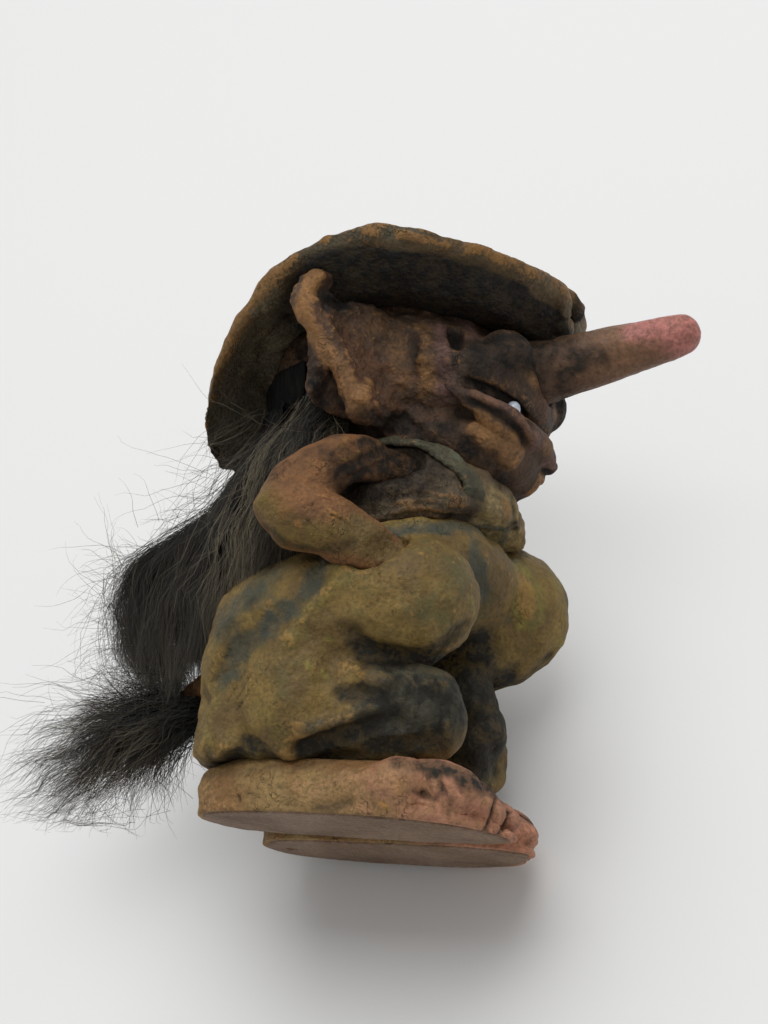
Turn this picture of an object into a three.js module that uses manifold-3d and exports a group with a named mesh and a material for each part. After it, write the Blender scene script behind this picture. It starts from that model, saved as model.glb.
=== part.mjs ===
// Folk troll figurine with its hands in its pockets, in millimetres.
// +Z is up, the figure faces -Y and its right hand is on the -X side.
import * as THREE from "three";
import { mergeVertices } from "three/addons/utils/BufferGeometryUtils.js";
import Module from "manifold-3d";

const wasm = await Module();
wasm.setup();

// Fits: clearance around every glued seat, and the pins that hold feet and neck
const FIT_GAP = 0.3;
const PIN_RADIUS = 4.5;
const PIN_DEPTH = 5;
const NECK_RADIUS = 9;
const WAIST_PIN_RADIUS = 10;

// Feet and soles
const FOOT_LENGTH = 61;
const FOOT_WIDTH = 21.5;
const FOOT_HEIGHT = 10.8;
const FOOT_PART = 1.4;
const HEEL_BACK = 25.5;
const LEFT_STEP = 3.4;
const TOE_LENGTH = 14;
const TOE_RADIUS = 4.4;
const TOE_TAPER = 0.93;
const SOLE_THICKNESS = 2.4;
const SOLE_INSET = 0.6;
const VENT_DIAMETER = 2.2;
const VENT_FROM_HEEL = 6;

// Trouser legs, which hang from the seat
const SEAT_CENTRE_HEIGHT = 42;
const HIP_DROP = 5;
const HIP_HEIGHT = SEAT_CENTRE_HEIGHT - HIP_DROP;
const HIP_SPREAD = 15.6;
const HIP_BACK = 11;
const THIGH_RADIUS = 14.4;
const THIGH_ARCH = 1.2;
const RIGHT_KNEE_RADIUS = 12.8;
const KNEE_SPREAD = 20;
const RIGHT_KNEE_RISE = 6;
const RIGHT_KNEE_HEIGHT = HIP_HEIGHT + RIGHT_KNEE_RISE;
const RIGHT_KNEE_FORWARD = 17.5;
const LEFT_KNEE_RISE = 17;
const LEFT_KNEE_HEIGHT = HIP_HEIGHT + LEFT_KNEE_RISE;
const LEFT_KNEE_FORWARD = 20.5;
const LEFT_KNEE_RADIUS = 15;
const CALF_RADIUS = 11.6;
const CALF_BACK = 15;
const CALF_SPREAD = 13;
const SHIN_RADIUS = 9.6;
const SHIN_SPREAD = 15;
const DRAPE_RADIUS = 13.4;
const DRAPE_SPREAD = 16.4;
const DRAPE_BACK = 4;
const RIGHT_SHIN_FORWARD = 19.5;
const LEFT_SHIN_FORWARD = 18;

// Seat and belly of the trousers
const SEAT_WIDTH = 54;
const SEAT_LENGTH = 42;
const SEAT_HEIGHT = 34;
const SEAT_BACK = 31;
const WAIST_SLOPE = 0.35;
const BELLY_WIDTH = 49;
const BELLY_FRONT = 30;
const BELLY_HEIGHT = 24;
const BELLY_RISE = 13;
const BELLY_CENTRE_HEIGHT = SEAT_CENTRE_HEIGHT + BELLY_RISE;

// Torso with the shirt
const TORSO_WIDTH = 50;
const TORSO_LENGTH = 48;
const TORSO_HEIGHT = 36;
const TORSO_FRONT = 31.5;
const TORSO_RISE = 23;
const TORSO_CENTRE_HEIGHT = SEAT_CENTRE_HEIGHT + TORSO_RISE;
const WAIST_RISE = 12.5;
const WAIST_HEIGHT = SEAT_CENTRE_HEIGHT + WAIST_RISE;

// Braces
const BRACE_WIDTH = 3.6;
const BRACE_THICKNESS = 1.3;
const BRACE_SPREAD = 18.5;
const BRACE_RISE = 12;
const BRACE_TOP_HEIGHT = TORSO_CENTRE_HEIGHT + BRACE_RISE;
const BRACE_LEAN = 0.35;

// Arms
const SHOULDER_SPREAD = 20;
const SHOULDER_FORWARD = 12;
const SHOULDER_RISE = 7;
const SHOULDER_HEIGHT = TORSO_CENTRE_HEIGHT + SHOULDER_RISE;
const SHOULDER_RADIUS = 4;
const UPPER_ARM_RADIUS = 4.8;
const UPPER_ARM_SPREAD = 31;
const UPPER_ARM_BACK = -3.5;
const UPPER_ARM_RISE = 3.5;
const UPPER_ARM_HEIGHT = TORSO_CENTRE_HEIGHT + UPPER_ARM_RISE;
const ELBOW_SPREAD = 34.4;
const ELBOW_BACK = 4.8;
const ELBOW_DROP = 8;
const ELBOW_HEIGHT = TORSO_CENTRE_HEIGHT - ELBOW_DROP;
const ELBOW_RADIUS = 7.2;
const WRIST_SPREAD = 33.5;
const WRIST_RADIUS = 6;
const HAND_RADIUS = 5.2;
const HAND_SPREAD = 26;
const HAND_FORWARD = 14;
const HAND_DROP = 16;
const HAND_HEIGHT = TORSO_CENTRE_HEIGHT - HAND_DROP;

// Head
const HEAD_RISE = 31;
const HEAD_HEIGHT = TORSO_CENTRE_HEIGHT + HEAD_RISE;
const SKULL_WIDTH = 50;
const SKULL_LENGTH = 56;
const SKULL_TALL = 42;
const MUZZLE_FRONT = 33.5;
const MUZZLE_LENGTH = 40;
const MUZZLE_WIDTH = 46;
const MUZZLE_DROP = 1.5;
const MUZZLE_HEIGHT = HEAD_HEIGHT - MUZZLE_DROP;
const MUZZLE_TALL = 24;
const CHIN_FRONT = 32;
const CHIN_LENGTH = 37;
const CHIN_DROP = 15.5;
const CHIN_HEIGHT = HEAD_HEIGHT - CHIN_DROP;
const CHIN_WIDTH = 38;
const CHIN_TALL = 17;
const MOUTH_DROP = 7.5;
const MOUTH_HEIGHT = HEAD_HEIGHT - MOUTH_DROP;
const MOUTH_WIDTH = 45;
const MOUTH_DEPTH = 23;
const MOUTH_GAPE = 2.4;
const LIP_RADIUS = 2.8;
const LIP_DROP = 11.4;
const LIP_HEIGHT = HEAD_HEIGHT - LIP_DROP;
const LIP_CORNER_BACK = 18.5;
const LIP_CURVE_SPREAD = 13.5;
const LIP_CURVE_FORWARD = 28.5;
const TOOTH_RADIUS = 1.5;
const TOOTH_SHOW = 2.6;
const TOOTH_ROOT = 3;
const TOOTH_ASIDE = 9.5;
const TOOTH_FORWARD = 29.5;
const EYE_DIAMETER = 6;
const EYE_SPREAD = 8.6;
const EYE_FORWARD = 27;
const EYE_RISE = 7.6;
const EYE_HEIGHT = HEAD_HEIGHT + EYE_RISE;
const BAG_RADIUS = 5.2;
const BAG_SPREAD = 12.4;
const BAG_FORWARD = 27;
const BAG_DROP = 4.4;

// Nose
const NOSE_ROOT_FORWARD = 27;
const NOSE_TIP = 64.5;
const NOSE_ROOT_RADIUS = 7.4;
const NOSE_TIP_RADIUS = 4.2;
const NOSE_ROOT_RISE = 4.5;
const NOSE_ROOT_HEIGHT = HEAD_HEIGHT + NOSE_ROOT_RISE;
const NOSE_RISE = 7.6;

// Ears
const EAR_TOP_RISE = 16;
const EAR_TOP = HEAD_HEIGHT + EAR_TOP_RISE;
const EAR_LOBE_DROP = 21;
const EAR_LOBE = HEAD_HEIGHT - EAR_LOBE_DROP;
const EAR_SPREAD = 38.5;
const EAR_BACK = 6.5;
const EAR_RIM_RADIUS = 3.1;
const EAR_CUP_THICKNESS = 4.5;
const EAR_CUP_TALL = 26;
const EAR_CUP_DROP = 4;
const EAR_CUP_HEIGHT = HEAD_HEIGHT - EAR_CUP_DROP;

// Hat
const BRIM_WIDTH = 83;
const BRIM_LENGTH = 78;
const BRIM_FRONT = 38;
const BRIM_FRONT_RISE = 20.7;
const BRIM_FRONT_HEIGHT = HEAD_HEIGHT + BRIM_FRONT_RISE;
const BRIM_DROOP = 34.2;
const BRIM_DROOP_POWER = 2.7;
const BRIM_THICKNESS = 4.6;
const BRIM_WAVE = 2.2;
const BRIM_WAVES = 3;
const BRIM_WAVE_TURN = 45;
const BRIM_FLARE = 1.3;
const CROWN_WIDTH = 57;
const CROWN_LENGTH = 60;
const CROWN_RISE = 33;
const CROWN_TOP = HEAD_HEIGHT + CROWN_RISE;
const HAT_SEAT_RISE = 11;
const HAT_SEAT_HEIGHT = HEAD_HEIGHT + HAT_SEAT_RISE;
const HAT_SEAT_TILT = 0.2;

// Tail and fur
const TAIL_DROP_FROM_SEAT = 10;
const TAIL_HEIGHT = SEAT_CENTRE_HEIGHT - TAIL_DROP_FROM_SEAT;
const TAIL_REACH = 40;
const TAIL_RADIUS = 4;
const TAIL_DROP = 2.5;
const TUFT_REACH = 78;
const TUFT_RADIUS = 10.5;
const TUFT_DROP = 22;
const HAIR_LENGTH = 54;
const HAIR_THICKNESS = 15;
const HAIR_FLARE = 23;
const HAIR_SIDE_FLARE = 0.25;
const HAIR_SIDE_LENGTH = 0.68;
const HAIR_ROOT_DROP = 7;
const HAIR_ROOT_HEIGHT = HEAD_HEIGHT - HAIR_ROOT_DROP;
const HAIR_SWEEP = 64;
const STRIP_HEIGHT = 12;
const STRIP_THICKNESS = 1.4;
const STRIP_FROM_MIDDLE = 12;

// How finely round forms are divided
const LIMB_SIDES = 12;
const TOE_SIDES = 8;
const FUR_SIDES = 8;
const CURTAIN_POINTS = 9;
const SPAN_RINGS = 3;
const DOME_RINGS = 3;
const BALL_SIDES = 16;
const BALL_RINGS = 10;
const BEAD_SIDES = 8;
const BEAD_RINGS = 6;
const HAT_SIDES = 28;
const OUTLINE_POINTS = 22;
const BLOCK_SIZE = 400;
const MERGE_STEP = 1e-5;

const RIGHT = -1;
const LEFT = 1;
const BOTH = [RIGHT, LEFT];

// Footprint round from the heel: share of the width from inside, share of the length from the heel
const FOOTPRINT = [
  [0.45, 0],
  [0.14, 0.09],
  [0.05, 0.4],
  [0, 0.75],
  [0.16, 1],
  [0.48, 0.97],
  [0.76, 0.88],
  [0.95, 0.72],
  [1, 0.48],
  [0.92, 0.18],
  [0.74, 0.03],
];

// Toe tips from the big toe to the little toe, on the same shares
const TOE_TIPS = [
  [0.23, 1],
  [0.46, 0.97],
  [0.68, 0.9],
  [0.87, 0.77],
];
const TOE_ROOT_SHARE = 0.6;
const FOOT_MIDDLE = [0.5, 0.5];

// Rounded sides of a foot: share of the height, share of the outline
const FOOT_LAYERS = [
  [0, 0.98],
  [0.35, 1],
  [0.75, 0.96],
  [1, 0.82],
];

// Nose from root to tip: share of the length, share of the rise, mix from root to tip radius
const NOSE_STATIONS = [
  [0, 0, 0],
  [0.35, 0.3, 0.38],
  [0.7, 0.68, 0.68],
  [1, 1, 1],
];

// Ear rim from top to lobe: step in, step forward, share of the height, share of the radius
const EAR_RIM = [
  [3.4, 1.5, 0.03, 0.8],
  [0.6, 0, 0.27, 1],
  [2.2, 5.2, 0.52, 0.66],
  [4.6, 9, 0.76, 0.64],
  [8, 12.5, 0.96, 0.95],
];

// Crown of the hat from its foot: share of the rise
const CROWN_RISES = [0.97, 0.86, 0.66, 0.4, 0.15];

// Brim section from the crown out round the rim and back: share of the reach, share of the lift
const BRIM_SECTION = [
  [0.15, 1],
  [0.5, 1],
  [0.92, 1],
  [0.985, 0.6],
  [1, 0],
  [0.985, -0.6],
  [0.92, -1],
  [0.5, -1],
  [0.1, -1],
];

// Fur tuft on the tail: share of the reach, share of the drop, share of the radius
const TUFT_STATIONS = [
  [0.14, 0, 0.5],
  [0.38, 0.2, 1],
  [0.68, 0.6, 0.9],
  [0.93, 1, 0.4],
];

// Hair from the roots down: share of the flare, share of the length, share of the thickness
const HAIR_STATIONS = [
  [0, 0, 0.45],
  [0.05, 0.15, 0.75],
  [0.35, 0.4, 1],
  [0.86, 0.65, 1],
  [1, 0.87, 0.8],
  [0.95, 1, 0.4],
];
const HAIR_EDGE_SHARE = 0.35;

const mix = THREE.MathUtils.lerp;

// Closed solid from an indexed geometry
function solidFrom(geometry) {
  const bare = new THREE.BufferGeometry();
  bare.setAttribute("position", geometry.getAttribute("position"));
  bare.setIndex(geometry.getIndex());
  const merged = mergeVertices(bare, MERGE_STEP);
  const vertProperties = Float32Array.from(merged.getAttribute("position").array);
  const triVerts = Uint32Array.from(merged.getIndex().array);
  return new wasm.Manifold(new wasm.Mesh({ numProp: 3, vertProperties, triVerts }));
}

// Solid from points and faces, turned so that its faces point out
function facing(points, faces) {
  const addVolume = (sum, [a, b, c]) => {
    const normal = new THREE.Vector3().crossVectors(points[b], points[c]);
    return sum + normal.dot(points[a]);
  };
  const facesOut = faces.reduce(addVolume, 0) > 0;
  const index = faces.flatMap(([a, b, c]) => (facesOut ? [a, b, c] : [a, c, b]));
  const geometry = new THREE.BufferGeometry();
  const flat = points.flatMap((p) => [p.x, p.y, p.z]);
  geometry.setAttribute("position", new THREE.Float32BufferAttribute(flat, 3));
  geometry.setIndex(index);
  return solidFrom(geometry);
}

// Closed solid over rings of equal length, with one point closing each end
function stitch(rings, first, last) {
  const sides = rings[0].length;
  const points = [first, ...rings.flat(), last];
  const end = points.length - 1;
  const faces = [];
  for (let i = 0; i < sides; i += 1) {
    const j = (i + 1) % sides;
    faces.push([0, 1 + j, 1 + i]);
    faces.push([end, end - sides + i, end - sides + j]);
    for (let k = 0; k + 1 < rings.length; k += 1) {
      const low = 1 + k * sides;
      const high = low + sides;
      faces.push([low + i, low + j, high + j]);
      faces.push([low + i, high + j, high + i]);
    }
  }
  return facing(points, faces);
}

// Closed curtain over rings that run along the outer face and back along the inner
function curtain(rings) {
  const points = rings.flat();
  const around = rings[0].length;
  const top = (rings.length - 1) * around;
  const faces = [];
  for (let i = 0; i < around; i += 1) {
    const j = (i + 1) % around;
    for (let k = 0; k + 1 < rings.length; k += 1) {
      const low = k * around;
      const high = low + around;
      faces.push([low + i, low + j, high + j]);
      faces.push([low + i, high + j, high + i]);
    }
  }
  for (let i = 0; i + 1 < around / 2; i += 1) {
    const back = around - 1 - i;
    faces.push([i, back, i + 1]);
    faces.push([i + 1, back, back - 1]);
    faces.push([top + i, top + i + 1, top + back]);
    faces.push([top + i + 1, top + back - 1, top + back]);
  }
  return facing(points, faces);
}

// Swelling tube with round ends along a smooth spine: stations hold x, y, z and radius
function limb(stations, grow = 0, tall = 1, sides = LIMB_SIDES) {
  const spine = new THREE.CatmullRomCurve3(stations.map(([x, y, z]) => new THREE.Vector3(x, y, z)));
  const girth = new THREE.CatmullRomCurve3(stations.map((s) => new THREE.Vector3(s[3] + grow, 0, 0)));
  const along = spine.getPoint(1).sub(spine.getPoint(0)).normalize();
  const upright = Math.abs(along.z) > Math.SQRT1_2;
  const lead = upright ? new THREE.Vector3(0, 1, 0) : new THREE.Vector3(0, 0, 1);
  const ring = (t, radius, shift) => {
    const tangent = spine.getTangent(t);
    const wide = new THREE.Vector3().crossVectors(tangent, lead).normalize();
    const high = new THREE.Vector3().crossVectors(wide, tangent);
    const centre = spine.getPoint(t).addScaledVector(tangent, shift);
    return Array.from({ length: sides }, (_, i) => {
      const angle = (2 * Math.PI * i) / sides;
      const point = centre.clone().addScaledVector(wide, radius * Math.cos(angle));
      return point.addScaledVector(high, radius * tall * Math.sin(angle));
    });
  };
  const dome = (t, sense) => {
    const radius = girth.getPoint(t).x;
    return Array.from({ length: DOME_RINGS - 1 }, (_, k) => {
      const angle = ((k + 1) * Math.PI) / 2 / DOME_RINGS;
      return ring(t, radius * Math.cos(angle), sense * radius * Math.sin(angle));
    });
  };
  const steps = (stations.length - 1) * SPAN_RINGS;
  const shares = Array.from({ length: steps + 1 }, (_, k) => k / steps);
  const middle = shares.map((t) => ring(t, girth.getPoint(t).x, 0));
  const rings = [...dome(0, -1).reverse(), ...middle, ...dome(1, 1)];
  const first = spine.getPoint(0).addScaledVector(spine.getTangent(0), -girth.getPoint(0).x);
  const last = spine.getPoint(1).addScaledVector(spine.getTangent(1), girth.getPoint(1).x);
  return stitch(rings, first, last);
}

// Ball stretched to its full sizes, with its poles up and down
function ball([x, y, z], [wide, long, tall], grow = 0, sides = BALL_SIDES, rings = BALL_RINGS) {
  const geometry = new THREE.SphereGeometry(1, sides, rings);
  geometry.rotateX(Math.PI / 2);
  geometry.scale(wide / 2 + grow, long / 2 + grow, tall / 2 + grow);
  geometry.translate(x, y, z);
  return solidFrom(geometry);
}

// Upright round pin at a place on the ground plan
function pin([x, y], low, high, radius, grow = 0) {
  const width = radius + grow;
  const geometry = new THREE.CylinderGeometry(width, width, high - low + 2 * grow, LIMB_SIDES);
  geometry.rotateX(Math.PI / 2);
  geometry.translate(x, y, (low + high) / 2);
  return solidFrom(geometry);
}

// Box between two corners
function block([x0, y0, z0], [x1, y1, z1]) {
  const geometry = new THREE.BoxGeometry(x1 - x0, y1 - y0, z1 - z0);
  geometry.translate((x0 + x1) / 2, (y0 + y1) / 2, (z0 + z1) / 2);
  return solidFrom(geometry);
}

// Large block that fills all below a height, sloped along Y
function below(height, slope = 0) {
  const geometry = new THREE.BoxGeometry(BLOCK_SIZE, BLOCK_SIZE, BLOCK_SIZE);
  geometry.translate(0, 0, -BLOCK_SIZE / 2);
  geometry.rotateX(Math.atan(slope));
  geometry.translate(0, 0, height);
  return solidFrom(geometry);
}

function join(...solids) {
  return solids.reduce((sum, next) => sum.add(next));
}

// Takes every neighbour away and keeps the largest body that is left
function cut(solid, ...neighbours) {
  const left = neighbours.reduce((rest, next) => rest.subtract(next), solid);
  const bodies = left.decompose();
  return bodies.reduce((best, next) => (next.volume() > best.volume() ? next : best));
}

// Place of a footprint share on the ground, drawn in from the edge by an inset
function footPoint(side, [across, forward], inset = 0) {
  const u = mix(inset / FOOT_WIDTH, 1 - inset / FOOT_WIDTH, across);
  const v = mix(inset / FOOT_LENGTH, 1 - inset / FOOT_LENGTH, forward);
  const step = side === LEFT ? LEFT_STEP : 0;
  return [side * (FOOT_PART / 2 + u * FOOT_WIDTH), HEEL_BACK - step - v * FOOT_LENGTH];
}

function footOutline(side, inset, pullToes = 0) {
  const shares = FOOTPRINT.map(([u, v]) => [u, v > TOE_ROOT_SHARE ? v - pullToes : v]);
  const points = shares.map((share) => new THREE.Vector3(...footPoint(side, share, inset), 0));
  const loop = new THREE.CatmullRomCurve3(points, true);
  return loop.getPoints(OUTLINE_POINTS).slice(0, OUTLINE_POINTS);
}

function footMiddle(side) {
  return footPoint(side, FOOT_MIDDLE);
}

function anklePlace(side) {
  return [footMiddle(side)[0], CALF_BACK / 2];
}

function makeFoot(side, grow = 0) {
  const floor = SOLE_THICKNESS + FIT_GAP;
  const outline = footOutline(side, -grow, TOE_LENGTH / 2 / FOOT_LENGTH);
  const [midX, midY] = footMiddle(side);
  const rings = FOOT_LAYERS.map(([rise, share]) => {
    const z = mix(floor - grow, FOOT_HEIGHT + grow, rise);
    return outline.map((p) => new THREE.Vector3(mix(midX, p.x, share), mix(midY, p.y, share), z));
  });
  const low = new THREE.Vector3(midX, midY, floor - grow);
  const high = new THREE.Vector3(midX, midY, FOOT_HEIGHT + grow);
  const slab = stitch(rings, low, high);
  const toes = TOE_TIPS.map((share, i) => {
    const radius = TOE_RADIUS * TOE_TAPER ** i;
    const [x, y] = footPoint(side, share);
    const z = floor + radius * TOE_TAPER;
    const root = [x, y + TOE_LENGTH, z, radius];
    const tip = [x, y + radius, z, radius * TOE_TAPER];
    return limb([root, tip], grow, 1, TOE_SIDES);
  });
  const spigot = pin(anklePlace(side), FOOT_HEIGHT / 2, FOOT_HEIGHT + PIN_DEPTH, PIN_RADIUS, grow);
  return cut(join(slab, ...toes, spigot), below(floor - grow));
}

function makeSole(side) {
  const outline = footOutline(side, SOLE_INSET).map((p) => new THREE.Vector2(p.x, p.y));
  const plate = new THREE.ExtrudeGeometry(new THREE.Shape(outline), {
    depth: SOLE_THICKNESS,
    bevelEnabled: false,
  });
  return solidFrom(plate);
}

// Small round casting hole near the heel of the left sole
function makeVent() {
  const [x] = footMiddle(LEFT);
  const place = [x, HEEL_BACK - LEFT_STEP - VENT_FROM_HEEL];
  return pin(place, -SOLE_THICKNESS, 2 * SOLE_THICKNESS, VENT_DIAMETER / 2);
}

function makeLeg(side, grow = 0) {
  const kneeHeight = side === RIGHT ? RIGHT_KNEE_HEIGHT : LEFT_KNEE_HEIGHT;
  const kneeForward = side === RIGHT ? RIGHT_KNEE_FORWARD : LEFT_KNEE_FORWARD;
  const shinForward = side === RIGHT ? RIGHT_SHIN_FORWARD : LEFT_SHIN_FORWARD;
  const kneeRadius = side === RIGHT ? RIGHT_KNEE_RADIUS : LEFT_KNEE_RADIUS;
  const hip = [side * HIP_SPREAD, HIP_BACK, HIP_HEIGHT, THIGH_RADIUS];
  const knee = [side * KNEE_SPREAD, -kneeForward, kneeHeight, kneeRadius];
  const middle = hip.map((value, i) => (value + knee[i]) / 2);
  middle[2] += THIGH_ARCH;
  const calfHeight = FOOT_HEIGHT + CALF_RADIUS;
  const calfTop = [side * HIP_SPREAD, CALF_BACK, HIP_HEIGHT - CALF_RADIUS / 2, CALF_RADIUS];
  const calf = [side * CALF_SPREAD, CALF_BACK, calfHeight, CALF_RADIUS];
  const heel = [side * CALF_SPREAD, CALF_BACK, FOOT_HEIGHT, CALF_RADIUS];
  const shinHeight = FOOT_HEIGHT + SHIN_RADIUS;
  const shinBack = [side * CALF_SPREAD, CALF_BACK / 2, shinHeight, SHIN_RADIUS];
  const shinMiddle = [side * SHIN_SPREAD, 0, calfHeight, CALF_RADIUS];
  const shin = [side * SHIN_SPREAD, -shinForward, shinHeight, SHIN_RADIUS];
  const foldEnd = [side * SHIN_SPREAD, SHIN_RADIUS / 2 - shinForward, shinHeight, SHIN_RADIUS];
  const drapeTop = [side * DRAPE_SPREAD, DRAPE_BACK, HIP_HEIGHT, DRAPE_RADIUS];
  const drapeEnd = [side * DRAPE_SPREAD, DRAPE_BACK, calfHeight, DRAPE_RADIUS];
  const underKnee = [side * SHIN_SPREAD, SHIN_RADIUS - kneeForward, kneeHeight - kneeRadius, SHIN_RADIUS];
  return join(
    limb([hip, middle, knee], grow),
    limb([calfTop, calf, heel], grow),
    limb([drapeTop, drapeEnd], grow),
    limb([shinBack, shinMiddle, shin], grow),
    limb([underKnee, foldEnd], grow),
  );
}

function makeSeat(grow = 0) {
  const seatY = SEAT_BACK - SEAT_LENGTH / 2;
  const seat = ball([0, seatY, SEAT_CENTRE_HEIGHT], [SEAT_WIDTH, SEAT_LENGTH, SEAT_HEIGHT], grow);
  const bellyLength = BELLY_FRONT + seatY;
  const bellyPlace = [0, seatY - bellyLength / 2, BELLY_CENTRE_HEIGHT];
  const belly = ball(bellyPlace, [BELLY_WIDTH, bellyLength, BELLY_HEIGHT], grow);
  return join(seat, belly);
}

// Pin under the torso that seats it in the trousers
function makeWaistPin(grow = 0) {
  const place = [0, TORSO_LENGTH / 2 - TORSO_FRONT];
  return pin(place, WAIST_HEIGHT - PIN_DEPTH, TORSO_CENTRE_HEIGHT, WAIST_PIN_RADIUS, grow);
}

function makeTorso(grow = 0) {
  const place = [0, TORSO_LENGTH / 2 - TORSO_FRONT, TORSO_CENTRE_HEIGHT];
  return ball(place, [TORSO_WIDTH, TORSO_LENGTH, TORSO_HEIGHT], grow);
}

function makeArm(side, grow = 0) {
  const wristY = (ELBOW_BACK - HAND_FORWARD) / 2;
  const wristHeight = (ELBOW_HEIGHT + HAND_HEIGHT) / 2;
  const stations = [
    [side * SHOULDER_SPREAD, -SHOULDER_FORWARD, SHOULDER_HEIGHT, SHOULDER_RADIUS],
    [side * UPPER_ARM_SPREAD, UPPER_ARM_BACK, UPPER_ARM_HEIGHT, UPPER_ARM_RADIUS],
    [side * ELBOW_SPREAD, ELBOW_BACK, ELBOW_HEIGHT, ELBOW_RADIUS],
    [side * WRIST_SPREAD, wristY, wristHeight, WRIST_RADIUS],
    [side * HAND_SPREAD, -HAND_FORWARD, HAND_HEIGHT, HAND_RADIUS],
  ];
  return limb(stations, grow);
}

// Strap that follows the torso from the waist over the shoulder and down the back
function makeBrace(side, grow = 0) {
  const outer = makeTorso(FIT_GAP + BRACE_THICKNESS + grow);
  const hollow = makeTorso(FIT_GAP - grow);
  const slab = new THREE.BoxGeometry(BRACE_WIDTH + 2 * grow, BLOCK_SIZE, BLOCK_SIZE);
  slab.rotateY(side * Math.atan(BRACE_LEAN));
  slab.translate(side * BRACE_SPREAD, 0, BRACE_TOP_HEIGHT);
  return outer.subtract(hollow).intersect(solidFrom(slab));
}

function makeHead(grow = 0) {
  const skull = ball([0, 0, HEAD_HEIGHT], [SKULL_WIDTH, SKULL_LENGTH, SKULL_TALL], grow);
  const muzzlePlace = [0, MUZZLE_LENGTH / 2 - MUZZLE_FRONT, MUZZLE_HEIGHT];
  const muzzle = ball(muzzlePlace, [MUZZLE_WIDTH, MUZZLE_LENGTH, MUZZLE_TALL], grow);
  const chinPlace = [0, CHIN_LENGTH / 2 - CHIN_FRONT, CHIN_HEIGHT];
  const chin = ball(chinPlace, [CHIN_WIDTH, CHIN_LENGTH, CHIN_TALL], grow);
  const corner = (side) => [(side * MOUTH_WIDTH) / 2, -LIP_CORNER_BACK, MOUTH_HEIGHT, LIP_RADIUS / 2];
  const curve = (side) => [side * LIP_CURVE_SPREAD, -LIP_CURVE_FORWARD, LIP_HEIGHT, LIP_RADIUS];
  const front = [0, LIP_RADIUS / 2 - MUZZLE_FRONT, LIP_HEIGHT, LIP_RADIUS];
  const lip = limb([corner(RIGHT), curve(RIGHT), front, curve(LEFT), corner(LEFT)], grow, 1, TOE_SIDES);
  const bagSize = [2 * BAG_RADIUS, 2 * BAG_RADIUS, 2 * BAG_RADIUS];
  const bags = BOTH.map((side) => {
    const place = [side * BAG_SPREAD, -BAG_FORWARD, EYE_HEIGHT - BAG_DROP];
    return ball(place, bagSize, grow, BEAD_SIDES, BEAD_RINGS);
  });
  const neckLow = CHIN_HEIGHT - CHIN_TALL / 2 - PIN_DEPTH;
  const neck = pin([0, 0], neckLow, HEAD_HEIGHT, NECK_RADIUS, grow);
  return join(skull, muzzle, chin, lip, ...bags, neck);
}

// Slit of the mouth, closed at both corners
function makeMouth() {
  const place = [0, MOUTH_DEPTH / 4 - MUZZLE_FRONT, MOUTH_HEIGHT];
  return ball(place, [MOUTH_WIDTH, MOUTH_DEPTH, MOUTH_GAPE]);
}

function makeTooth(grow = 0) {
  const gum = MOUTH_HEIGHT - MOUTH_GAPE / 2;
  const root = [RIGHT * TOOTH_ASIDE, -TOOTH_FORWARD, gum - TOOTH_ROOT, TOOTH_RADIUS];
  const tip = [RIGHT * TOOTH_ASIDE, -TOOTH_FORWARD, gum + TOOTH_SHOW - TOOTH_RADIUS, TOOTH_RADIUS];
  return limb([root, tip], grow, 1, TOE_SIDES);
}

function makeEye(side, grow = 0) {
  const size = [EYE_DIAMETER, EYE_DIAMETER, EYE_DIAMETER];
  return ball([side * EYE_SPREAD, -EYE_FORWARD, EYE_HEIGHT], size, grow, BEAD_SIDES, BEAD_RINGS);
}

function makeNose(grow = 0) {
  const end = NOSE_TIP - NOSE_TIP_RADIUS;
  const stations = NOSE_STATIONS.map(([far, rise, thin]) => {
    const y = -mix(NOSE_ROOT_FORWARD, end, far);
    return [0, y, NOSE_ROOT_HEIGHT + rise * NOSE_RISE, mix(NOSE_ROOT_RADIUS, NOSE_TIP_RADIUS, thin)];
  });
  return limb(stations, grow);
}

function makeEar(side, grow = 0) {
  const rimStations = EAR_RIM.map(([inward, forward, drop, share]) => {
    const z = mix(EAR_TOP - EAR_RIM_RADIUS, EAR_LOBE + EAR_RIM_RADIUS, drop);
    return [side * (EAR_SPREAD - inward), EAR_BACK - forward, z, EAR_RIM_RADIUS * share];
  });
  const half = EAR_CUP_THICKNESS / 2;
  const root = [(side * SKULL_WIDTH) / 2 - side * EAR_CUP_THICKNESS, -EAR_BACK, EAR_CUP_HEIGHT, half];
  const bend = [(side * (SKULL_WIDTH / 2 + EAR_SPREAD)) / 2, EAR_BACK / 2, EAR_CUP_HEIGHT, half];
  const edge = [side * (EAR_SPREAD - EAR_RIM_RADIUS), EAR_BACK - EAR_RIM_RADIUS, EAR_CUP_HEIGHT, half];
  const cup = limb([root, bend, edge], grow, EAR_CUP_TALL / EAR_CUP_THICKNESS);
  return join(limb(rimStations, grow), cup);
}

// Height of the brim's rim at a place along the figure: it droops towards the back
function brimHeight(y) {
  const share = THREE.MathUtils.clamp((y + BRIM_FRONT) / BRIM_LENGTH, 0, 1);
  return BRIM_FRONT_HEIGHT - BRIM_DROOP * share ** BRIM_DROOP_POWER;
}

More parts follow.
